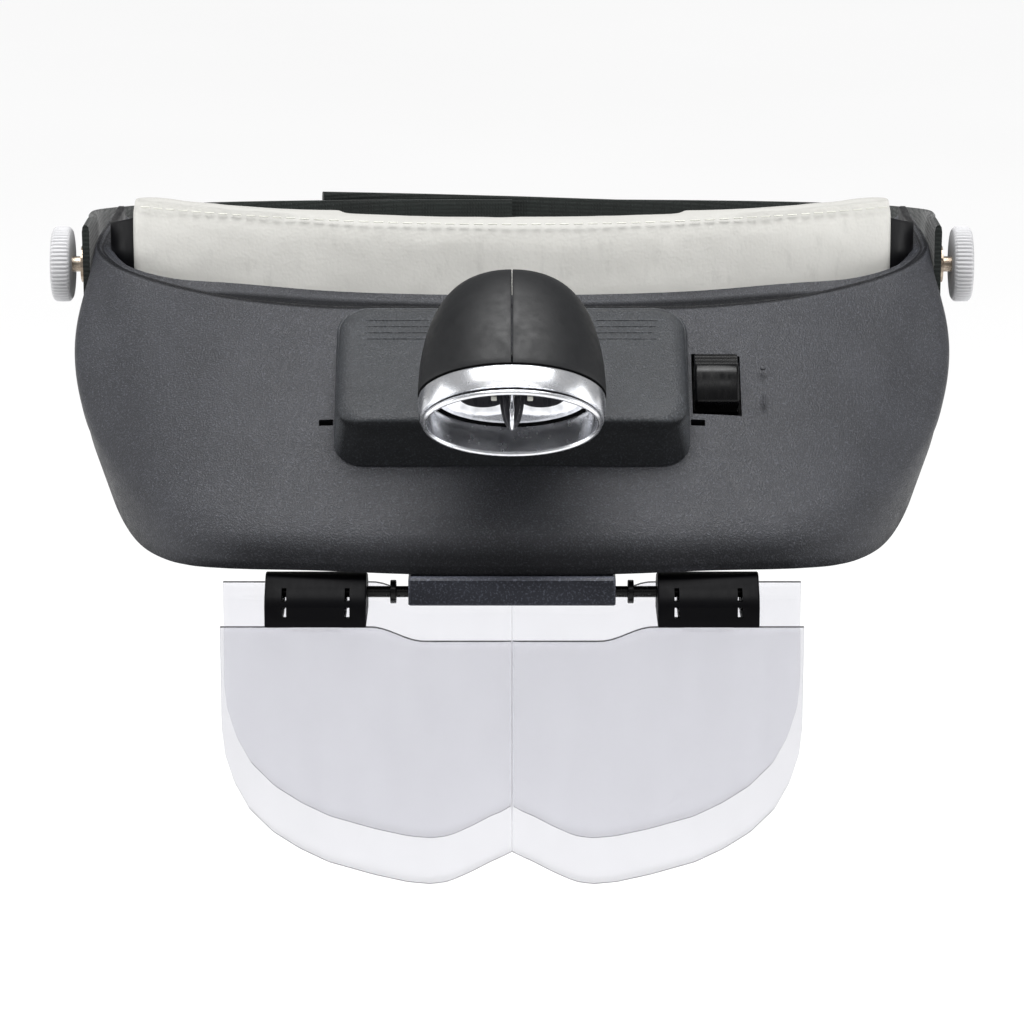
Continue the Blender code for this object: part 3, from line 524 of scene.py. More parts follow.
def leatherette(name, colour):
    """Coated cloth with an embossed skin grain, creases across the pad with painted shade in their
    hollows, rubbed high spots, and painted shade on faces that look up.
    """
    paint = Paint(name, Specular_IOR_Level=0.35, Sheen_Weight=0.06, Sheen_Roughness=0.5)
    grain = paint.cells(0.75 * MM, "SMOOTH_F1")
    creases = paint.noise(3.4 * MM, 5, 0.62, (1.0, 1.0, 0.4))
    base = paint.shades(paint.patches(0.3, 0.72, 26 * MM, 4, 0.6), colour, 0.965, 1.015)
    # Darker in the hollows of the creases: painted shade.
    base = paint.mix(paint.ramp(creases, 0.35, 0.0, 0.3, 0.44), base, scaled(colour, 0.88))
    # Faces that look up are darker: painted shade.
    painted_top_shade = paint.ramp(paint.split("Normal")["Z"], 0.0, 1.0, 0.1, 0.55)
    paint.colour(paint.mix(painted_top_shade, base, scaled(colour, 0.8)))
    paint.rough(creases, 0.62, 0.48, 0.3, 0.65)
    paint.bump(grain, 0.09 * MM, 0.55)
    paint.bump(creases, 0.22 * MM, 0.6)
    return paint.material


def webbing(name, colour):
    """Tightly woven strap: ribs along it, crossed by finer picks, with lint, fading and painted shade
    between the threads.
    """
    paint = Paint(name, Specular_IOR_Level=0.3, Sheen_Weight=0.25, Sheen_Roughness=0.4)
    ribs = paint.stripes(1.1 * MM, "Z")
    picks = paint.math("MAXIMUM", *[paint.stripes(0.8 * MM, axis, 0.4) for axis in "XY"])
    weave = paint.math("MULTIPLY", ribs, picks)
    base = paint.shades(paint.patches(0.35, 0.7, 18 * MM, 4, 0.6), colour, 0.85, 1.2)
    # Darker where the weave sinks between threads: painted shade.
    paint.colour(paint.mix(paint.ramp(weave, 0.5, 0.0, 0.0, 0.5), base, scaled(colour, 0.45)))
    paint.rough(paint.noise(0.5 * MM, 3), 0.72, 0.9)
    paint.bump(weave, 0.16 * MM, 0.8)
    paint.bump(paint.noise(0.25 * MM, 3), 0.05 * MM, 0.6)
    return paint.material


def fuzzy_tape(name, colour):
    """Hook-and-loop tape: a nap of tiny tangled loops, with painted shade in its hollows and painted
    highlight on its tops.
    """
    paint = Paint(name, Sheen_Weight=0.5, Sheen_Roughness=0.5)
    nap = paint.noise(0.4 * MM, 5, 0.75)
    # Darker where the nap sinks and lighter where it stands up: painted shade and highlight.
    paint.colour(paint.shades(paint.ramp(nap, 0.0, 1.0, 0.35, 0.65), colour, 0.6, 1.5))
    paint.rough(nap, 0.85, 1.0)
    paint.bump(nap, 0.3 * MM, 0.9)
    return paint.material


def cell_wrap(name, colour, band):
    """A dry cell's printed sleeve: a plain coloured body with a dark band at one end."""
    paint = Paint(name, metallic=0.35, Coat_Weight=0.5)
    at_end = paint.ramp(paint.split("Object")["X"], 0.0, 1.0, 9 * MM, 9.4 * MM)
    body = paint.shades(paint.patches(0.4, 0.7, 4 * MM, 4, 0.6), colour, 1, 0.86)
    paint.colour(paint.mix(at_end, body, band))
    paint.rough(paint.noise(1.5 * MM, 3), 0.22, 0.36)
    paint.bump(paint.noise(3 * MM, 2), 0.03 * MM, 0.3)
    return paint.material


def resin(name, colour):
    """A clear LED body, milky towards its foot."""
    paint = Paint(name, Transmission_Weight=0.55, IOR=1.5)
    cloud = paint.patches(0.35, 0.7, 0.9 * MM, 3)
    paint.colour(paint.shades(cloud, colour, 1, 0.92))
    paint.rough(cloud, 0.04, 0.14, 0.0, 1.0)
    paint.bump(paint.noise(0.8 * MM, 2), 0.02 * MM, 0.3)
    return paint.material


def circuit_board(name, colour):
    """Solder-masked board with traces that show as slightly raised lines."""
    paint = Paint(name, Coat_Weight=0.4)
    traces = paint.ramp(paint.stripes(1.6 * MM, "X", 2.0), 0.0, 1.0, 0.6, 0.7)
    paint.colour(paint.mix(traces, colour, scaled(colour, 1.35)))
    paint.rough(paint.noise(1 * MM, 3), 0.25, 0.45)
    paint.bump(traces, 0.03 * MM, 0.6)
    return paint.material


# The hood's flat ledges get painted shade as well.
HOOD = grained_plastic("hood_abs", (48, 49, 53), 0.4 * MM, 0.3 * MM, 0.36, True)
BOX = grained_plastic("box_abs", (44, 46, 49), 0.4 * MM, 0.26 * MM, 0.36)
BLOCK = grained_plastic("hinge_block_abs", (66, 68, 76), 0.5 * MM, 0.12 * MM, 0.42)
INNER = satin_plastic("inner_abs", (34, 34, 38), 0.45)
BAND = satin_plastic("band_nylon", (14, 14, 16), 0.42)
DOME = grained_plastic("dome_abs", (13, 14, 16), 0.24 * MM, 0.02 * MM, 0.5)
GLOSS = satin_plastic("gloss_black_abs", (5, 5, 6), 0.24)
CLIP = satin_plastic("clip_nylon", (4, 4, 6), 0.5, 0.06, 0.06)
CUP = satin_plastic("cup_smoked", (52, 52, 56), 0.3)
KNOB = satin_plastic("knob_acetal", (186, 186, 188), 0.36)
PAD = leatherette("pad_leatherette", (214, 213, 208))
PIPING = satin_plastic("pad_thread", (190, 190, 182), 0.6)
STRAP = webbing("strap_webbing", (22, 27, 25))
HOOKS = fuzzy_tape("hook_tape", (30, 34, 33))
STEEL = brushed_metal("screw_steel", (168, 156, 142), 0.3, (118, 104, 90))
BRIGHT = brushed_metal("bright_steel", (196, 197, 200), 0.2, (150, 150, 152))
CONTACT = brushed_metal("contact_nickel", (206, 204, 198), 0.24, (160, 156, 146))
CHROME = chrome("bezel_chrome", 0.24)
MIRROR = chrome("reflector_chrome", 0.07)
LENS_FRONT = acrylic("lens_front_acrylic", (222, 222, 226))
LENS_REAR = acrylic("lens_rear_acrylic", (238, 238, 242))
CELL = cell_wrap("cell_sleeve", (176, 140, 62), (34, 32, 32))
RESIN = resin("led_resin", (250, 250, 240))
BOARD = circuit_board("led_circuit", (30, 84, 54))


# Headband

PAD_PLUMP = 3.1 * MM
HEM_DROP = 3.9 * MM
PAD_TAPER = 0.42
PAD_THINNING = 0.22
PAD_SHRINK = 0.9 * MM
PAD_VOXEL = 2.6 * MM
PAD_MOST_SWELL = 1.3 * MM
CLOTH_PRESSURE = 4.0
CLOTH_STIFFNESS = 22
CLOTH_BENDING = 1.2
CLOTH_FRAMES = 20
BAND_TOP_Z = 12.6 * MM
BAND_BOTTOM_Z = -9.0 * MM


def band_half():
    """The front band's middle line in plan, from the middle to where it turns back to the pivots."""
    plan = (
        (0, -21.2), (30, -20.0), (60, -16.4), (80, -12.6), (89.5, -10.4), (94.2, -8.8), (96.7, -6.4),
        (BAND_SIDE_X, -3.4), (BAND_SIDE_X, 4), (BAND_SIDE_X, 14),
    )
    return [mm(x, y, 0) for x, y in plan]


def pad_path(count):
    half = [*band_half()[:5], Vector((PAD_HALF_LENGTH, -9.5 * MM, 0))]
    return mirrored_path(smooth(half, count))


def pad_top(x):
    return PAD_TOP_Z + PAD_TOP_RISE * (x / PAD_HALF_LENGTH) ** 2


def pad_ring(path, k, shrink):
    """An upright section of the pad, before it swells: rounder and lower towards the pad's ends."""
    point = path[k]
    along = direction_at(path, k)
    outwards = Vector((along.y, -along.x, 0))
    past = max(0.0, abs(point.x) - PAD_HALF_LENGTH + PAD_ROUNDING) / PAD_ROUNDING
    half = (PAD_HALF_THICKNESS - shrink) * (0.6 + 0.4 * math.sqrt(max(0.0, 1 - past**2)))
    half *= 1 - PAD_THINNING * min(1.0, abs(point.x) / PAD_HALF_LENGTH) ** 3
    top = pad_top(point.x) - 1.6 * MM * past**4 + PAD_PLUMP - shrink
    low = PAD_BOTTOM_Z + 3 * MM * past**4 + shrink
    middle, rise = (top + low) / 2, (top - low) / 2
    ring = []
    steps = 20
    for i in range(steps):
        angle = math.tau * (i + 0.5) / steps
        c, s = math.cos(angle), math.sin(angle)
        across = half * math.copysign(abs(c) ** 0.55, c) * (1 - PAD_TAPER * max(0.0, s) ** 4)
        up = rise * math.copysign(abs(s) ** 0.3, s)
        ring.append(point + outwards * across + Vector((0, 0, middle + up)))
    return ring


def swell(obj, voxel, most):
    """Blows a closed shape up like padding by cloth simulation, moving no point further than most."""
    modify(obj, "REMESH", mode="VOXEL", voxel_size=voxel)
    before = [vert.co.copy() for vert in obj.data.vertices]
    cloth = obj.modifiers.new("cloth", "CLOTH").settings
    cloth.use_pressure = True
    cloth.uniform_pressure_force = CLOTH_PRESSURE
    cloth.effector_weights.gravity = 0.0
    cloth.tension_stiffness = cloth.compression_stiffness = CLOTH_STIFFNESS
    cloth.bending_stiffness = CLOTH_BENDING
    for step in range(1, CLOTH_FRAMES + 1):
        bpy.context.scene.frame_set(step)
    apply_modifiers(obj)
    bpy.context.scene.frame_set(1)
    for vert, start in zip(obj.data.vertices, before):
        moved = vert.co - start
        if moved.length > most:
            vert.co = start + moved * (most / moved.length)
    return obj


def nearest_on(path, point):
    """The place on a plan path nearest to a point: the point there and the direction outwards."""
    best = min(range(len(path)), key=lambda k: (path[k].xy - point.xy).length_squared)
    along = direction_at(path, best)
    return path[best], Vector((along.y, -along.x, 0))


def sew_hem(obj, path, drop, depth, width):
    """Presses a sewn line into both faces of the pad, a little under its top edge."""
    for vert in obj.data.vertices:
        below = pad_top(vert.co.x) + PAD_PLUMP - drop - vert.co.z
        near = math.exp(-((below / width) ** 2))
        if near > 0.02:
            centre, outwards = nearest_on(path, vert.co)
            side = math.copysign(1.0, (vert.co - centre).dot(outwards))
            vert.co -= outwards * side * depth * near
    obj.data.update()


def crease(obj, path):
    """Small soft folds and dents that leatherette over foam has, most of them upright."""
    for vert in obj.data.vertices:
        _, outwards = nearest_on(path, vert.co)
        spot = Vector((vert.co.x * 70, vert.co.y * 40, vert.co.z * 22))
        fold = noise.noise(spot) * 0.32 * MM
        dent = noise.noise(vert.co * 190) * 0.14 * MM
        vert.co += outwards * (fold + dent)
    obj.data.update()


def make_pad():
    path = pad_path(40)
    pad = loft("pad_cushion", [pad_ring(path, k, PAD_SHRINK) for k in range(len(path))])
    subdivide(swell(pad, PAD_VOXEL, PAD_MOST_SWELL))
    sew_hem(pad, pad_path(120), HEM_DROP, 0.6 * MM, 0.7 * MM)
    crease(pad, path)
    subdivide(pad)
    slot = []
    for point in mirrored_path(smooth(band_half(), 40)):
        low, high = PAD_BOTTOM_Z - 4 * MM, frame_top(point) + 0.3 * MM
        slot.append((point + Vector((0, 0, low)), point + Vector((0, 0, high))))
    sheet = loft("pad_slot", slot, closed_rings=False, caps="")
    boolean(pad, [solidify(sheet, BAND_THICKNESS + 0.6 * MM, 0.0)])
    piece(shade(pad, 60), "headband", "leatherette", PAD, "forehead_pad")
    make_hem_stitches(pad_path(400))


def make_hem_stitches(path):
    """A row of short stitches in the pressed line, on the pad's front."""
    bm = bmesh.new()
    length = 2.1 * MM
    travelled, start = 0.0, None
    for k in range(1, len(path)):
        travelled += (path[k] - path[k - 1]).length
        if start is None and travelled > 0.9 * MM:
            start, travelled = path[k], 0.0
        elif start is not None and travelled > length:
            add_stitch(bm, start, path[k])
            start, travelled = None, 0.0
    stitches = shade(new_object("pad_hem_stitches", bm), 60)
    piece(stitches, "headband", "leatherette", PIPING)


def add_stitch(bm, start, end):
    """One thread stitch: a short bar with its ends sunk into the pad."""
    along = (end - start).normalized()
    outwards = Vector((along.y, -along.x, 0))
    edge = PAD_HALF_LENGTH - PAD_ROUNDING
    past = max(0.0, abs(start.x) - edge) / PAD_ROUNDING
    if past > 0.5:
        return
    surface = (PAD_HALF_THICKNESS - 0.35 * MM) * (0.6 + 0.4 * math.sqrt(1 - past**2))
    radius, sides, steps = 0.17 * MM, 6, 5
    rings = []
    for i in range(steps + 1):
        t = i / steps
        point = start.lerp(end, t) + outwards * (surface + 0.16 * MM * math.sin(math.pi * t))
        point.z = pad_top(start.x) + PAD_PLUMP - HEM_DROP
        ring = []
        for angle in full_turn(sides):
            offset = outwards * math.cos(angle) + Vector((0, 0, math.sin(angle)))
            ring.append(point + offset * radius)
        rings.append(ring)
    add_skin(bm, rings)


def frame_top(point):
    """The band's top edge: it follows the pad's, then falls away at the turned-back ends."""
    past = min(1.0, max(0.0, (abs(point.x) - 88 * MM) / (9 * MM)))
    return BAND_TOP_Z + PAD_TOP_RISE * (point.x / PAD_HALF_LENGTH) ** 2 - 3.4 * MM * past


# Straps


def strap_loop(count):
    """The straps' shared middle line in plan, round the back of the head."""
    plan = (
        (0, 150), (30, 148), (60, 138.5), (84, 122), (100.5, 96), (107.6, 66), (107.3, 38),
        (STRAP_SIDE_X + 0.3, 16), (STRAP_SIDE_X, 2), (STRAP_SIDE_X, -10),
    )
    return mirrored_path(smooth([mm(x, y, 0) for x, y in plan], count))


def moved_out(path, distance):
    moved = []
    for k, point in enumerate(path):
        along = direction_at(path, k)
        moved.append(point + Vector((-along.y, along.x, 0)) * distance(point))
    return moved


def overlap_offset(point):
    """The left strap steps out over the right one just before the middle of the back."""
    if point.y < 100 * MM:
        return 0.0
    step = min(1.0, max(0.0, (24 * MM - point.x) / (24 * MM)))
    return STRAP_LAP * step * step * (3 - 2 * step)


def strap_top(point):
    return STRAP_TOP_Z - STRAP_DROOP * max(point.y, 0)


def lifted_top(point):
    """The left strap's free tail rides a little higher than the strap under it."""
    if point.y < 100 * MM:
        return strap_top(point)
    past = max(0.0, (30 * MM - point.x) / (30 * MM - LEFT_TAIL_X))
    return strap_top(point) + TAIL_LIFT * past


def strap_section(thickness):
    """Half the strap's section in (across, share of the width up): thin woven edges, flat between."""
    shares = ((0.35, 0.0), (0.8, 0.02), (1.0, 0.07), (0.94, 0.5), (1.0, 0.93), (0.8, 0.98), (0.35, 1.0))
    return [(thickness / 2 * across, up) for across, up in shares]


def make_strap(name, node, path, top):
    right = strap_section(STRAP_THICKNESS)
    section = right + [(-across, up) for across, up in reversed(right)]
    rings = []
    for k, point in enumerate(path):
        along = direction_at(path, k)
        outwards = Vector((-along.y, along.x, 0))
        low = top(point) - STRAP_WIDTH
        shares = [(across, low + STRAP_WIDTH * up) for across, up in section]
        rings.append([point + outwards * across + Vector((0, 0, z)) for across, z in shares])
    strap = drill(loft(name, rings), Vector(), DRILL_REACH, SCREW_RADIUS + 0.1 * MM)
    return piece(shade(strap, 50), "headband", "strap", STRAP, node)


def make_straps():
    loop = strap_loop(220)
    right = [point for point in loop if point.x <= RIGHT_TAIL_X]
    left = [point for point in moved_out(loop, overlap_offset) if point.x >= LEFT_TAIL_X]
    make_strap("strap_webbing_right", "strap_right", right, strap_top)
    make_strap("strap_webbing_left", "strap_left", left, lifted_top)
    make_strap_hems()


def make_strap_hems():
    """Two rows of box stitching across each strap's folded end, in front of the pivot."""
    thread = satin_plastic("strap_thread", (52, 60, 57), 0.6)
    for side, word in SIDES:
        bm = bmesh.new()
        for y in (-4.8 * MM, -6.6 * MM):
            for i in range(11):
                z = STRAP_TOP_Z - 2.2 * MM - i * 2.05 * MM
                x = side * (STRAP_SIDE_X * MM + STRAP_THICKNESS / 2)
                place = Matrix.Translation((x, y, z)) @ Matrix.Diagonal((*mm(0.14, 0.2, 0.8), 1))
                bmesh.ops.create_uvsphere(bm, u_segments=8, v_segments=6, radius=1.0, matrix=place)
        stitches = shade(new_object(f"strap_stitches_{word}", bm), 60)
        piece(stitches, "headband", "strap", thread)


def make_band():
    """The thin nylon band that carries the pad, with soft edges."""
    path = mirrored_path(smooth(band_half(), 60))
    half, edge = BAND_THICKNESS / 2, 0.4 * MM
    rings = []
    for k, point in enumerate(path):
        along = direction_at(path, k)
        outwards = Vector((along.y, -along.x, 0))
        low, top = BAND_BOTTOM_Z, frame_top(point)
        section = [
            (half - edge, low), (half, low + edge), (half, top - edge), (half - edge, top),
            (-half + edge, top), (-half, top - edge), (-half, low + edge), (-half + edge, low),
        ]
        rings.append([point + outwards * across + Vector((0, 0, z)) for across, z in section])
    band = drill(loft("band_strip", rings), Vector(), DRILL_REACH, SCREW_RADIUS + 0.06 * MM)
    piece(shade(band, 50), "headband", "band_plastic", BAND, "headband_frame")


def make_knob(side, word):
    """A clamping knob: fine knurling round the rim, a dished face and a raised boss."""
    teeth, per_tooth = 56, 6
    depth = KNOB_OUTER_X - KNOB_INNER_X
    profile = [
        (1.96, 2.9, 0), (1.96, 0, 0), (8.3, 0, 0), (8.75, 0.3, 0.2), (9.2, 0.75, 1), (9.25, 2.4, 1),
        (9.2, 4.0, 1), (8.8, 4.5, 0.5), (8.3, 4.75, 0), (7.6, 4.8, 0), (7.1, 4.45, 0), (6.4, 4.3, 0),
        (3.9, 4.25, 0), (3.4, 4.5, 0), (2.9, 4.75, 0), (0.01, 4.8, 0),
    ]
    place = Matrix.Translation((side * KNOB_INNER_X, 0, 0)) @ Matrix.Rotation(side * math.pi / 2, 4, "Y")
    rings = []
    for radius, height, knurl in profile:
        ring = []
        for angle in full_turn(teeth * per_tooth):
            wave = 0.5 - 0.5 * math.cos(angle * teeth)
            r = (radius - 0.34 * knurl * wave**1.5) * MM
            x, y = r * math.cos(angle), r * math.sin(angle)
            ring.append(place @ Vector((x, y, min(height * MM, depth))))
        rings.append(ring)
    knob = shade(loft(f"knob_knurled_{word}", rings), 40)
    piece(knob, f"knob_{word}_body", "knob_plastic", KNOB, f"knob_{word}")


# Hood


def on_slope(x, v, n):
    """A point at x, a distance v down the slope from the crest and n out of the face."""
    return slope_frame() @ Vector((x, -v, n))


def slope_frame():
    """Axes of the hood's flat front: X across, Y up the slope, Z out of the face, at the crest."""
    return Matrix.Translation((0, CREST_Y, CREST_Z)) @ Matrix.Rotation(SLOPE, 4, "X")


def slope_block(name, x_range, v_range, n_range):
    """A block along the slope's axes, from its ranges in millimetres."""
    low = mm(x_range[0], -v_range[1], n_range[0])
    high = mm(x_range[1], -v_range[0], n_range[1])
    return block(name, low, high, slope_frame())


def hood_lines():
    """The hood's guide lines from the middle to the end of the ear: lip, crest, knee and lower edge."""
    lip = (
        (0, -33, -0.9), (22, -32, -0.9), (44, -29.5, -0.6), (66, -25.5, 0.4), (81.5, -24.4, 1.4),
        (92.6, -19.4, 3.4), (98.8, -8.4, 5.4), (99.6, 6, 5.8), (99.6, 24, 5.4), (99.6, 40, 5),
    )
    crest = (
        (0, -45, -1.4), (22, -45, -1.4), (44, -44.6, -1.4), (66, -38.5, -0.6), (84, -28.5, 1),
        (95.2, -21.2, 3.2), (101.4, -9.5, 5.2), (102.4, 6, 5.8), (102.4, 24, 5.4), (102.4, 40, 5),
    )
    knee = (
        (0, -93.4, -43.5), (22, -93.4, -43.5), (44, -92.8, -43.2), (63, -89.8, -42.6), (79, -80.5, -41),
        (93, -62, -37), (101.8, -40, -29.5), (102.6, -14, -18), (102.4, 10, -10), (102.4, 40, -4),
    )
    edge = (
        (0, -95.6, -52.4), (22, -95.6, -52.3), (44, -95, -51.6), (66, -92, -51.8), (79.5, -84.6, -51.8),
        (89, -69, -49.6), (96.6, -47, -41), (101.8, -18, -26), (102.4, 9, -14.5), (102.4, 40, -8.5),
    )
    return [[mm(*point) for point in line] for line in (lip, crest, knee, edge)]


def hood_ring(lip, crest, knee, edge, along):
    """One section: lip, softened crest, bulged face, a broad round knee and the rim."""
    bulge = 5.0 * MM * math.exp(-(((along - 0.625) / 0.055) ** 2))
    ledge = (crest - lip).length
    top = fillet(lip, crest, knee, min(1.5 * MM, ledge * 0.42), 6)
    bottom = fillet(crest, knee, edge, min(5.2 * MM, (edge - knee).length * 0.62), 10)
    face = []
    steps = 22
    for i in range(1, steps):
        face.append(top[-1].lerp(bottom[0], i / steps))
    dip = min(2.2 * MM, ledge * 0.22)
    channel = []
    for t in (0.12, 0.3, 0.5, 0.7, 0.88):
        channel.append(lip.lerp(top[0], t) - Vector((0, 0, dip * math.sin(math.pi * t) ** 0.7)))
    ring = [lip, *channel, *top, *face, *bottom]
    ring += [bottom[-1].lerp(edge, 0.5), edge]
    length = (knee - crest).length
    for point in ring[6:-1]:
        t = min(1.0, max(0.0, (point - crest).dot(knee - crest) / length**2))
        point.x += bulge * math.sin(math.pi * t)
    return ring


def make_hood():
    stations = 96
    lines = [smooth(line, stations) for line in hood_lines()]
    rings = [
        hood_ring(*[line[k].copy() for line in lines], k / (stations - 1)) for k in range(stations)
    ]
    left = [[Vector((-p.x, p.y, p.z)) for p in ring] for ring in reversed(rings[1:])]
    hood = loft("hood_shell", left + rings, closed_rings=False, caps="")
    bevel(solidify(hood, SHELL_WALL, -1.0), 0.35 * MM, 2, 60)
    cutters = [
        slope_block("well", (-27.8, 27.8), (8.7, 35.9), (-6, 6)),
        slope_block("window", (41.8, 53.2), (13.4, 30.6), (-7, 6)),
    ]
    for side, word in SIDES:
        x_range = sorted((side * 41.3, side * 44.6))
        cutters.append(slope_block(f"slot_{word}", x_range, (32.2, 33.9), (-7, 6)))
    reach = Vector((DRILL_REACH, 0, 0))
    cutters.append(rod("ear_hole", -reach, reach, SCREW_RADIUS + 0.06 * MM))
    boolean(hood, cutters)
    piece(shade(hood, 42), "visor", "hood_plastic", HOOD, "visor_shell")


# Battery box

CORNER_STEPS = 10


def rounded_rectangle(x_half, v_low, v_high, radius):
    corners = [
        (x_half - radius, v_high - radius, 0),
        (-x_half + radius, v_high - radius, 90),
        (-x_half + radius, v_low + radius, 180),
        (x_half - radius, v_low + radius, 270),
    ]
    points = []
    for cx, cv, start in corners:
        for i in range(CORNER_STEPS + 1):
            angle = math.radians(start + 90 * i / CORNER_STEPS)
            points.append((cx + radius * math.cos(angle), cv + radius * math.sin(angle)))
    return points


def box_top(v):
    """Height of the battery box's top above the hood, rising away from the crest."""
    return 2.0 * MM + 0.228 * v


def box_levels():
    """(half width, lower v, upper v, drop below the top) of the box's rings, from the hood up."""
    levels = [(41.0, 0.6, 45.6, None), (40.6, 0.8, 41.3, 3.2)]
    steps = 8
    for i in range(steps + 1):
        angle = math.pi / 2 * i / steps
        inset, drop = 3.4 * (1 - math.cos(angle)), 2.9 * (1 - math.sin(angle))
        levels.append((40.4 - inset, 0.9 + inset * 0.85, 41.1 - inset, drop))
    levels.append((34.0, 7.0, 34.5, 0.0))
    return levels


def make_battery_box():
    rings = []
    for x_half, v_low, v_high, drop in box_levels():
        ring = []
        for x, v in rounded_rectangle(x_half * MM, v_low * MM, v_high * MM, 7 * MM):
            height = 0.3 * MM if drop is None else max(box_top(v) - drop * MM, 0.9 * MM)
            ring.append(on_slope(x, v, height))
        rings.append(ring)
    box = loft("battery_housing", rings)
    inside = rounded_rectangle(37.0 * MM, 5.5 * MM, 37.5 * MM, 4 * MM)
    low = [on_slope(x, v, -2 * MM) for x, v in inside]
    high = [on_slope(x, v, box_top(v) - 1.9 * MM) for x, v in inside]
    boolean(box, [loft("hollow", [low, high])])
    boolean(box, [yoke_ear(side) for side, _ in SIDES], "UNION")
    drill(box, LAMP_PIVOT, 12 * MM, LAMP_PIN_RADIUS + 0.05 * MM)
    piece(shade(box, 40), "visor", "box_plastic", BOX, "battery_box")
    make_box_ribs()


def yoke_ear(side):
    """One upright ear of the lamp's yoke, from inside the box's top to round the pin."""
    radius, foot_v, steps = 3.4 * MM, 32.4 * MM, 24
    foot = on_slope(0, foot_v, box_top(foot_v) - 1.2 * MM)
    outline = []
    for i in range(steps + 1):
        angle = math.radians(-20 + 220 * i / steps)
        y, z = radius * math.cos(angle), radius * math.sin(angle)
        outline.append((LAMP_PIVOT.y + y, LAMP_PIVOT.z + z))
    outline += [(foot.y - 4.5 * MM, foot.z - 2.4 * MM), (foot.y + 5.5 * MM, foot.z + 2.9 * MM)]
    rings = [[Vector((side * x * MM, y, z)) for y, z in outline] for x in (3.4, 5.9)]
    return bevel(loft(f"ear_{side}", rings), 0.3 * MM, 2, 60)


def make_box_ribs():
    """Four low grip ribs on each side of the box's top, clear of the lamp."""
    for side, word in SIDES:
        bm = bmesh.new()
        for row in range(4):
            add_rib(bm, side, (6.2 + 2.15 * row) * MM)
        ribs = shade(new_object(f"box_ribs_{word}", bm), 50)
        piece(ribs, "visor", "box_plastic", BOX)


def add_rib(bm, side, v):
    """A low half-round bar across the box's top, with tapered ends."""
    radius, steps, sides = 0.24 * MM, 14, 8
    start, end = 17.5 * MM, 35.6 * MM
    rings = []
    for i in range(steps + 1):
        t = i / steps
        taper = min(1.0, 6 * min(t, 1 - t) + 0.15)
        x = side * (start + (end - start) * t)
        ring = []
        for angle in full_turn(sides):
            across, up = radius * 1.5 * math.cos(angle), radius * taper * math.sin(angle)
            ring.append(on_slope(x, v + across, box_top(v) - 0.05 * MM + up))
        rings.append(ring)
    add_skin(bm, rings)


def make_switch_knob():
    """The slider: a glossy wedge with grip grooves across its upper ramp."""
    ridge = ((14, -3.9), (14, 0.9), (19.6, 3.9), (21.6, 3.9), (27.8, 1.0), (27.8, -3.9))
    rings = [[on_slope(x * MM, v * MM, n * MM) for v, n in ridge] for x in (42.4, 52.6)]
    knob = bevel(loft("switch_slider", rings), 0.6 * MM, 3, 30)
    cutters = []
    for i in range(3):
        v = (15.4 + 1.5 * i) * MM
        n = 0.9 * MM + (v - 14 * MM) * 3.0 / 5.6 + 0.1 * MM
        start, end = on_slope(41 * MM, v, n), on_slope(54 * MM, v, n)
        cutters.append(rod(f"groove_{i}", start, end, 0.32 * MM, 16))
    boolean(knob, cutters)
    piece(shade(knob, 40), "switch", "gloss_black", GLOSS, "switch_knob")


def make_switch_housing():
    """The slide switch's case under the hood, with a shallow dark tub that closes the window."""
    case = slope_block("switch_case", (42.5, 52.5), (12.0, 32.0), (-10.8, -4.2))
    tub = slope_block("tub", (40.9, 54.1), (12.5, 31.5), (-4.5, -2.3))
    hollow = slope_block("tub_hollow", (41.7, 53.3), (13.3, 30.7), (-4.0, -1))
    boolean(tub, [hollow])
    boolean(case, [tub], "UNION")
    piece(shade(bevel(case, 0.2 * MM, 2)), "visor", "inner_plastic", GLOSS, "switch_body")


def make_latch_tongues():
    """The housing's two side latches, seen black through their slots in the hood."""
    for side, word in SIDES:
        x_range = sorted((side * 38.5, side * 45.4))
        tongue = slope_block(f"box_latch_{word}", x_range, (31.2, 34.9), (-3.6, -2.35))
        piece(shade(bevel(tongue, 0.3 * MM, 2)), "visor", "box_plastic", GLOSS)


def make_switch_marks():
    """A plain dot and bar moulded beside the switch for its off and on ends."""
    bm = bmesh.new()
    for y, size in ((-17.5, (0.75, 0.75, 0.3)), (-26.5, (0.4, 1.9, 0.3))):
        place = slope_frame() @ Matrix.Translation(mm(58.5, y, 0)) @ Matrix.Diagonal((*mm(*size), 1))
        bmesh.ops.create_uvsphere(bm, u_segments=20, v_segments=10, radius=1.0, matrix=place)
    piece(shade(new_object("switch_marks", bm), 60), "visor", "hood_plastic", HOOD)


# Lens carrier


def lens_outline():
    """A plate's lower edge from its side to the middle notch, in x and drop below the top edge."""
    return [
        (66.2, 24), (65.6, 30), (63.6, 36.8), (60.2, 43.4), (54.8, 49), (48.8, 53), (42.2, 56.3),
        (31.8, 59.4), (24.0, 61.2), (18.6, 61.7), (14.6, 61.1), (9.6, 58.8), (5.0, 56.3), (0.0, 53.9),
    ]


def lower_edge(x):
    """Drop of the plate's lower edge at x, by a smooth curve through the outline."""
    points = lens_outline()
    x = min(abs(x) / MM, points[0][0])
    for (x_out, drop_out), (x_in, drop_in) in zip(points, points[1:]):
        if x_in <= x <= x_out:
            t = (x_out - x) / (x_out - x_in)
            return (drop_out + (drop_in - drop_out) * t) * MM
    return points[-1][1] * MM


def upper_edge(x):
    """Rise of the plate's top edge at x: a shallow dip in the middle."""
    past = min(1.0, max(0.0, (abs(x) - 20 * MM) / (12 * MM)))
    return -3.4 * MM * (1 - past * past * (3 - 2 * past))


def plate_columns():
    """x stations across a plate, closer together where its outline turns quickly."""
    columns = [0.0]
    columns += [66.2 * MM * math.sin(math.pi / 2 * i / 56) ** 0.9 for i in range(1, 57)]
    return [-x for x in reversed(columns[1:])] + columns


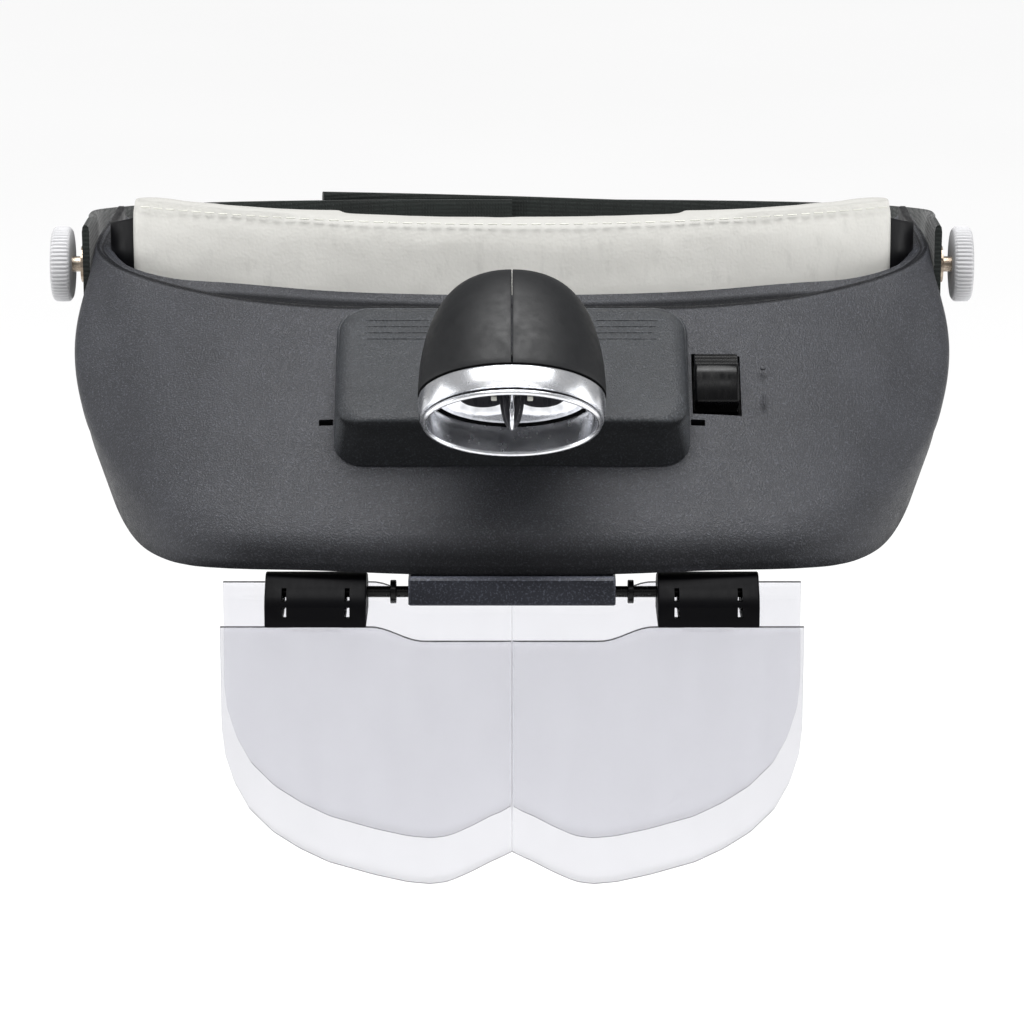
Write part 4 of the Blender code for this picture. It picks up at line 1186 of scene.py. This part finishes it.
def lens_depth(x, share):
    """Half the plate's thickness: each eye's half is a shallow lens, so it thins to the seam."""
    eye = (abs(x) - 33 * MM) / (33 * MM)
    bulge = 0.45 * MM * (1 - eye**2) * (1 - (2 * share - 1) ** 2)
    seam = 0.25 * MM * math.exp(-((x / (0.5 * MM)) ** 2))
    return PLATE_THICKNESS / 2 - 0.45 * MM + bulge - seam


def make_plate(name, node, body, plate_y, top_z, has_tabs, look):
    rows = 26
    front, back = [], []
    for x in plate_columns():
        top, low = upper_edge(x), -lower_edge(x)
        line_front, line_back = [], []
        for j in range(rows + 1):
            share = j / rows
            z = top + (low - top) * share
            half = lens_depth(x, share)
            line_front.append(Vector((x, plate_y - half, top_z + z)))
            line_back.append(Vector((x, plate_y + PLATE_THICKNESS / 2 - 0.45 * MM, top_z + z)))
        front.append(line_front)
        back.append(line_back)
    rings = [line + list(reversed(other)) for line, other in zip(front, back)]
    plate = bevel(loft(name, rings), 0.22 * MM, 2, 50)
    if has_tabs:
        half = PLATE_THICKNESS / 2 - 0.3 * MM
        tabs = []
        for side, word in SIDES:
            x_low, x_high = sorted((side * 38.8 * MM, side * 50.2 * MM))
            low = Vector((x_low, plate_y - half, top_z - 0.8 * MM))
            tabs.append(block(f"tab_{word}", low, Vector((x_high, plate_y + half, top_z + 5.4 * MM))))
        boolean(plate, tabs, "UNION")
    piece(shade(plate, 30), body, "clear_acrylic", look, node)


def clip_outline():
    """The clip's end view about the shaft: a rounded top over a deep body that holds the plates."""
    points = [(-8.2, -6.2), (-8.2, -1.4), (-7.0, 0.8)]
    for i in range(11):
        angle = math.radians(140 - 10 * i)
        points.append((4.6 * math.cos(angle), 4.6 * math.sin(angle)))
    points += [(7.2, 2.4), (8.6, 0.8), (8.6, -6.2)]
    return [(SHAFT.y + y * MM, SHAFT.z + z * MM) for y, z in points]


def make_clip(side, word):
    """A glossy clip with slots for the plates and four sight windows that slant down to the rear."""
    low, high = sorted((side * 33.0 * MM, side * 56.0 * MM))
    ends = [[Vector((x, y, z)) for y, z in clip_outline()] for x in (low, high)]
    clip = bevel(loft(f"clip_{word}", ends), 0.35 * MM, 3, 30)
    half = PLATE_THICKNESS / 2 + 0.15 * MM
    tab_low, tab_high = sorted((side * 38.5 * MM, side * 50.5 * MM))
    cutters = []
    for x_low, x_high, y, top in (
        (tab_low, tab_high, FRONT_PLATE_Y, -58.3 * MM),
        (low - MM, high + MM, REAR_PLATE_Y, -56.5 * MM),
    ):
        foot = Vector((x_low, y - half, -70 * MM))
        cutters.append(block("slot", foot, Vector((x_high, y + half, top))))
    for x in (37.3 * MM, 51.6 * MM):
        for z, height in ((-60.1 * MM, 2.3 * MM), (-55.9 * MM, 3.0 * MM)):
            reach = mm(0.55, 14, 0)
            centre = Vector((side * x, SHAFT.y - 8 * MM, z))
            place = Matrix.Translation(centre) @ Matrix.Rotation(-CAMERA_ELEVATION, 4, "X")
            up = Vector((0, 0, height / 2))
            cutters.append(block("window", -reach - up, reach + Vector((0, 14 * MM, 0)) + up, place))
    cutters.append(rod("bore", SHAFT - mm(60, 0, 0), SHAFT + mm(60, 0, 0), 1.36 * MM))
    boolean(clip, cutters)
    piece(shade(clip), "lens_carrier", "gloss_black", CLIP, f"lens_clip_{word}")


def make_lens_carrier():
    refined("hinge_block", "hinge_bracket", "visor", "box_plastic", BLOCK, 0.45 * MM, 3)
    for side, word in SIDES:
        make_clip(side, word)
        refined(f"retaining_ring_{word}", f"ring_{word}", "lens_carrier", "gloss_black", GLOSS, 0.2 * MM)
    for word, y, top_z, has_tabs, look in (
        ("front", FRONT_PLATE_Y, FRONT_PLATE_TOP_Z, True, LENS_FRONT),
        ("rear", REAR_PLATE_Y, REAR_PLATE_TOP_Z, False, LENS_REAR),
    ):
        make_plate(f"lens_{word}", f"lens_plate_{word}", f"{word}_plate", y, top_z, has_tabs, look)


# Lamp


def lamp_frame():
    """Axes of the lamp: X across, Z out of the front along the beam."""
    return Matrix.Translation(LAMP_FRONT) @ Matrix.Rotation(math.pi / 2 + LAMP_ANGLE, 4, "X")


def lamp_ellipse(width, height, depth, angles):
    place = lamp_frame()
    return [place @ Vector((width * math.cos(a), height * math.sin(a), -depth)) for a in angles]


def make_dome_half(side, word):
    """Half of the dome with a fine groove at the seam, and its half of the pivot lug."""
    steps, ring_steps = 28, 36
    angles = [math.pi * (i / ring_steps - 0.5) for i in range(ring_steps + 1)]
    rings = []
    for i in range(steps + 1):
        angle = math.radians(88 * i / steps)
        scale = math.cos(angle) ** 0.62
        depth = BEZEL_LENGTH + 0.3 * MM + 30 * MM * math.sin(angle)
        ring = lamp_ellipse(20.9 * MM * scale, 15.6 * MM * scale, depth, angles)
        rings.append([point + Vector((0.12 * MM, 0, 0)) for point in ring])
    half = loft(f"dome_{word}", rings, closed_rings=False, caps="last")
    if side < 0:
        half.data.transform(Matrix.Diagonal((-1, 1, 1, 1)))
        half.data.flip_normals()
    bevel(solidify(half, 1.5 * MM, -1.0), 0.2 * MM, 2, 60)
    boolean(half, [lamp_lug(side)], "UNION")
    drill(half, LAMP_PIVOT, 12 * MM, LAMP_PIN_RADIUS + 0.06 * MM)
    piece(shade(half, 45), "lamp_head", "lamp_plastic", DOME, f"lamp_shell_{word}")


def lamp_lug(side):
    """Half of the lug that reaches from the dome's underside to the pin."""
    radius, steps = 3.2 * MM, 18
    back_down = Vector((0, math.sin(LAMP_ANGLE), -math.cos(LAMP_ANGLE)))
    along = Vector((0, math.cos(LAMP_ANGLE), math.sin(LAMP_ANGLE)))
    outline = []
    for i in range(steps + 1):
        angle = math.radians(-90 + 180 * i / steps)
        outline.append(LAMP_PIVOT + radius * (math.cos(angle) * back_down + math.sin(angle) * along))
    outline.append(LAMP_PIVOT + radius * along - 5.8 * MM * back_down)
    outline.append(LAMP_PIVOT - radius * along - 5.8 * MM * back_down)
    rings = [[point + Vector((side * x * MM, 0, 0)) for point in outline] for x in (0.12, 3.0)]
    return loft(f"lug_{side}", rings)


def lamp_ring(name, sections):
    """A ring round the lamp's mouth, from (depth, half width, half height) of its section's corners."""
    rings = [lamp_ellipse(w * MM, h * MM, d * MM, full_turn(96)) for d, w, h in sections]
    return loft(name, rings, caps="joined")


def make_bezel():
    """The chrome ring: a rolled front lip, a slight flare and a step where the dome meets it."""
    sections = (
        (0.35, 18.9, 13.9), (0.05, 19.15, 14.15), (0.0, 19.5, 14.5), (0.1, 19.85, 14.85),
        (0.45, 20.05, 15.05), (0.9, 20.05, 15.05), (1.15, 19.75, 14.75), (1.45, 19.75, 14.75),
        (1.6, 20.5, 15.5), (1.9, 20.65, 15.6), (4.0, 20.8, 15.7), (6.4, 20.9, 15.8), (6.8, 20.8, 15.75),
        (7.0, 20.5, 15.5), (7.0, 18.5, 13.5), (5.0, 18.6, 13.6), (0.9, 18.8, 13.8),
    )
    bezel = shade(lamp_ring("lamp_chrome_ring", sections), 50)
    piece(bezel, "lamp_head", "chrome", CHROME, "lamp_bezel")


def bowl_depth(x, y):
    """Depth of the reflector behind the front: one bowl round each LED, meeting in a sharp ridge."""
    near = min((x - LED_X / MM) ** 2, (x + LED_X / MM) ** 2) + y**2 * 1.25
    return 13.4 - 0.058 * near


def make_reflector():
    """A bright bowl with a cup round each LED, facets on its wall and a cusp between the cups."""
    columns, ring_steps = full_turn(112), 26
    rings = []
    for i in range(ring_steps + 1):
        share = 1 - i / ring_steps
        ring = []
        for a in columns:
            x, y = 17.6 * share * math.cos(a), 12.6 * share * math.sin(a)
            facet = 0.25 * abs(math.sin(a * 14)) * min(1.0, share * 1.6)
            depth = max(7.6, bowl_depth(x, y) - facet) if share < 0.97 else 7.5
            cup = min(math.hypot(x - LED_X / MM, y), math.hypot(x + LED_X / MM, y))
            if cup < 3.0:
                depth = 14.2
            ring.append(lamp_frame() @ mm(x, y, -depth))
        rings.append(ring)
    bm = bmesh.new()
    add_skin(bm, rings[:-1], caps="")
    bm.verts.ensure_lookup_table()
    last = bm.verts[-len(columns) :]
    centre = bm.verts.new(rings[-1][0])
    for j in range(len(columns)):
        bm.faces.new((last[j], last[(j + 1) % len(columns)], centre))
    bowl = new_object("lamp_bowl", bm, recalculate=False)
    solidify(bowl, 0.5 * MM, -1.0 if faces_front(bowl) else 1.0)
    piece(shade(bowl, 28), "lamp_head", "chrome", MIRROR, "lamp_reflector")
    make_cusp()


def faces_front(obj):
    """True if the mesh's normals mostly look out along the beam."""
    beam = lamp_frame().to_3x3() @ Vector((0, 0, 1))
    return sum(face.normal.dot(beam) for face in obj.data.polygons) > 0


def make_cusp():
    """The dark fluted boss that stands between the two cups, its bright rib and the chips beside it."""
    rings = []
    count, steps = 72, 16
    for i in range(steps + 1):
        angle = math.pi / 2 * i / steps
        reach, depth = math.cos(angle) ** 0.8, 12.0 - 10.4 * math.sin(angle)
        ring = []
        for a in full_turn(count):
            flute = 1 - 0.22 * math.sin(4 * a) ** 2
            x, y = 2.9 * reach * flute * math.cos(a), 4.2 * reach * flute * math.sin(a)
            ring.append(lamp_frame() @ mm(x, y - 4.2, -depth))
        rings.append(ring)
    piece(shade(loft("lamp_boss", rings), 40), "lamp_head", "chrome", CUP)
    make_rib()
    for side, word in SIDES:
        low, high = sorted((side * 3.4, side * 4.7))
        chip = block(f"lamp_chip_{word}", mm(low, -3.6, -9.6), mm(high, -1.8, -8.2), lamp_frame())
        piece(shade(bevel(chip, 0.15 * MM, 2)), "lamp_head", "led_resin", RESIN)


def make_rib():
    """The bright rib along the boss's back and over its tip."""
    rings = []
    for y, depth in ((-0.1, 11.0), (0.1, 7.5), (-0.6, 4.6), (-1.9, 2.4), (-3.6, 1.3), (-5.0, 1.6)):
        place = lamp_frame() @ Matrix.Translation(mm(0, y, -depth))
        ring = [(0.55 * math.cos(a), 0.5 * math.sin(a), 0.5 * math.sin(a)) for a in full_turn(12)]
        rings.append([place @ mm(*point) for point in ring])
    piece(shade(loft("lamp_rib", rings), 60), "lamp_head", "chrome", MIRROR)


def make_cups():
    """A smoked cup round each LED, its lower edge standing clear of the bowl."""
    outside = ((3.0, 13.2), (4.4, 11.6), (5.3, 9.6), (5.6, 8.0))
    inside = ((5.3, 7.9), (5.0, 9.4), (4.1, 11.3), (2.8, 12.8))
    for side, word in SIDES:
        place = lamp_frame() @ Matrix.Translation((side * LED_X, -0.6 * MM, 0))
        rings = [circle(place, radius * MM, -depth * MM, 48) for radius, depth in outside + inside]
        cup = loft(f"lamp_cup_{word}", rings, caps="joined")
        piece(shade(cup, 50), "lamp_head", "chrome", CUP)


def make_groove_ring():
    """The dark line in the chrome ring's groove."""
    sections = ((1.16, 19.8, 14.8), (1.16, 19.6, 14.6), (1.44, 19.6, 14.6), (1.44, 19.8, 14.8))
    piece(shade(lamp_ring("lamp_groove", sections), 40), "lamp_head", "lamp_plastic", BAND)


def make_leds():
    """Domed resin LEDs with a flange, each over its reflector cup."""
    for side, word in SIDES:
        profile = [(0.01, 5.6)]
        for i in range(1, 11):
            angle = math.radians(90 - 9 * i)
            profile.append((2.5 * math.cos(angle), 3.1 + 2.5 * math.sin(angle)))
        profile += [(2.5, 1.0), (2.85, 0.9), (2.85, 0.2), (0.01, 0.2)]
        place = lamp_frame() @ Matrix.Translation(mm(side * LED_X / MM, 0, -14.6))
        led = turned(f"led_dome_{word}", [(r * MM, h * MM) for r, h in profile], place, 40)
        piece(shade(led, 40), "lamp_head", "led_resin", RESIN, f"led_{word}")


# Carried-over CAD pieces


def dress_cad():
    for _, word in SIDES:
        dress(STEEL, f"pivot_screw_{word}", f"washer_inner_{word}", f"washer_outer_{word}")
    dress(HOOKS, "hook_patch")
    dress(BRIGHT, "lamp_pin")
    dress(GLOSS, "lens_shaft")
    dress(INNER, "battery_tray", "battery_door")
    dress(CELL, "cell_upper", "cell_lower")
    dress(CONTACT, "contact_bridge", "terminal_upper", "terminal_lower")
    dress(CONTACT, "contact_spring_upper", "contact_spring_lower")
    dress(BOARD, "led_board")


# Stage


def make_stage():
    bm = bmesh.new()
    bmesh.ops.create_grid(bm, x_segments=1, y_segments=1, size=40.0)
    bm.transform(Matrix.Translation((0, 0, FLOOR_Z)))
    floor = new_object("floor", bm, recalculate=False)
    paint = Paint("floor_paper")
    paint.colour(paint.mix(paint.noise(0.4, 2), (250, 250, 250), (254, 254, 254)))
    paint.shader.inputs["Roughness"].default_value = 0.9
    floor.data.materials.append(paint.material)
    world = bpy.data.worlds.new("studio")
    world.use_nodes = True
    world.node_tree.nodes["Background"].inputs["Color"].default_value = (1, 1, 1, 1)
    world.node_tree.nodes["Background"].inputs["Strength"].default_value = 0.38
    bpy.context.scene.world = world
    bpy.context.scene.view_settings.view_transform = "Standard"


def area_light(name, place, target, size, radiance):
    """A soft box whose face has the radiance given, aimed at the target."""
    light = bpy.data.lights.new(name, "AREA")
    light.shape = "RECTANGLE"
    light.size, light.size_y = size
    light.energy = radiance * math.pi * size[0] * size[1]
    obj = bpy.data.objects.new(name, light)
    obj.location = place
    obj.rotation_euler = (Vector(target) - Vector(place)).to_track_quat("-Z", "Y").to_euler()
    bpy.context.scene.collection.objects.link(obj)


def make_lights():
    area_light("softbox_top", (0.0, -0.2, 0.5), (0, -0.08, -0.02), (0.6, 0.24), 6.2)
    area_light("strip_front", (0.0, -0.72, 0.66), (0, -0.09, -0.04), (0.8, 0.1), 3.4)
    for side, word in SIDES:
        area_light(f"softbox_{word}", (side * 0.95, -0.2, 0.12), (0, -0.05, -0.03), (0.6, 0.7), 2.0)
    sun = bpy.data.lights.new("ceiling", "SUN")
    sun.energy = 1.9
    sun.angle = math.radians(35)
    overhead = bpy.data.objects.new("ceiling", sun)
    bpy.context.scene.collection.objects.link(overhead)


def make_camera():
    data = bpy.data.cameras.new("camera")
    data.sensor_width = 36.0
    data.lens = CAMERA_LENS
    data.clip_start, data.clip_end = 0.01, 50.0
    camera = bpy.data.objects.new("camera", data)
    camera.location = CAMERA_PLACE
    camera.rotation_euler = (math.pi / 2 - CAMERA_ELEVATION, 0, 0)
    bpy.context.scene.collection.objects.link(camera)
    bpy.context.scene.camera = camera


make_camera()
make_lights()
make_stage()
make_pad()
make_straps()
make_band()
for knob_side, knob_word in SIDES:
    make_knob(knob_side, knob_word)
make_hood()
make_battery_box()
make_switch_knob()
make_switch_housing()
make_latch_tongues()
make_switch_marks()
make_lens_carrier()
for dome_side, dome_word in SIDES:
    make_dome_half(dome_side, dome_word)
make_bezel()
make_reflector()
make_cups()
make_groove_ring()
make_leds()
dress_cad()
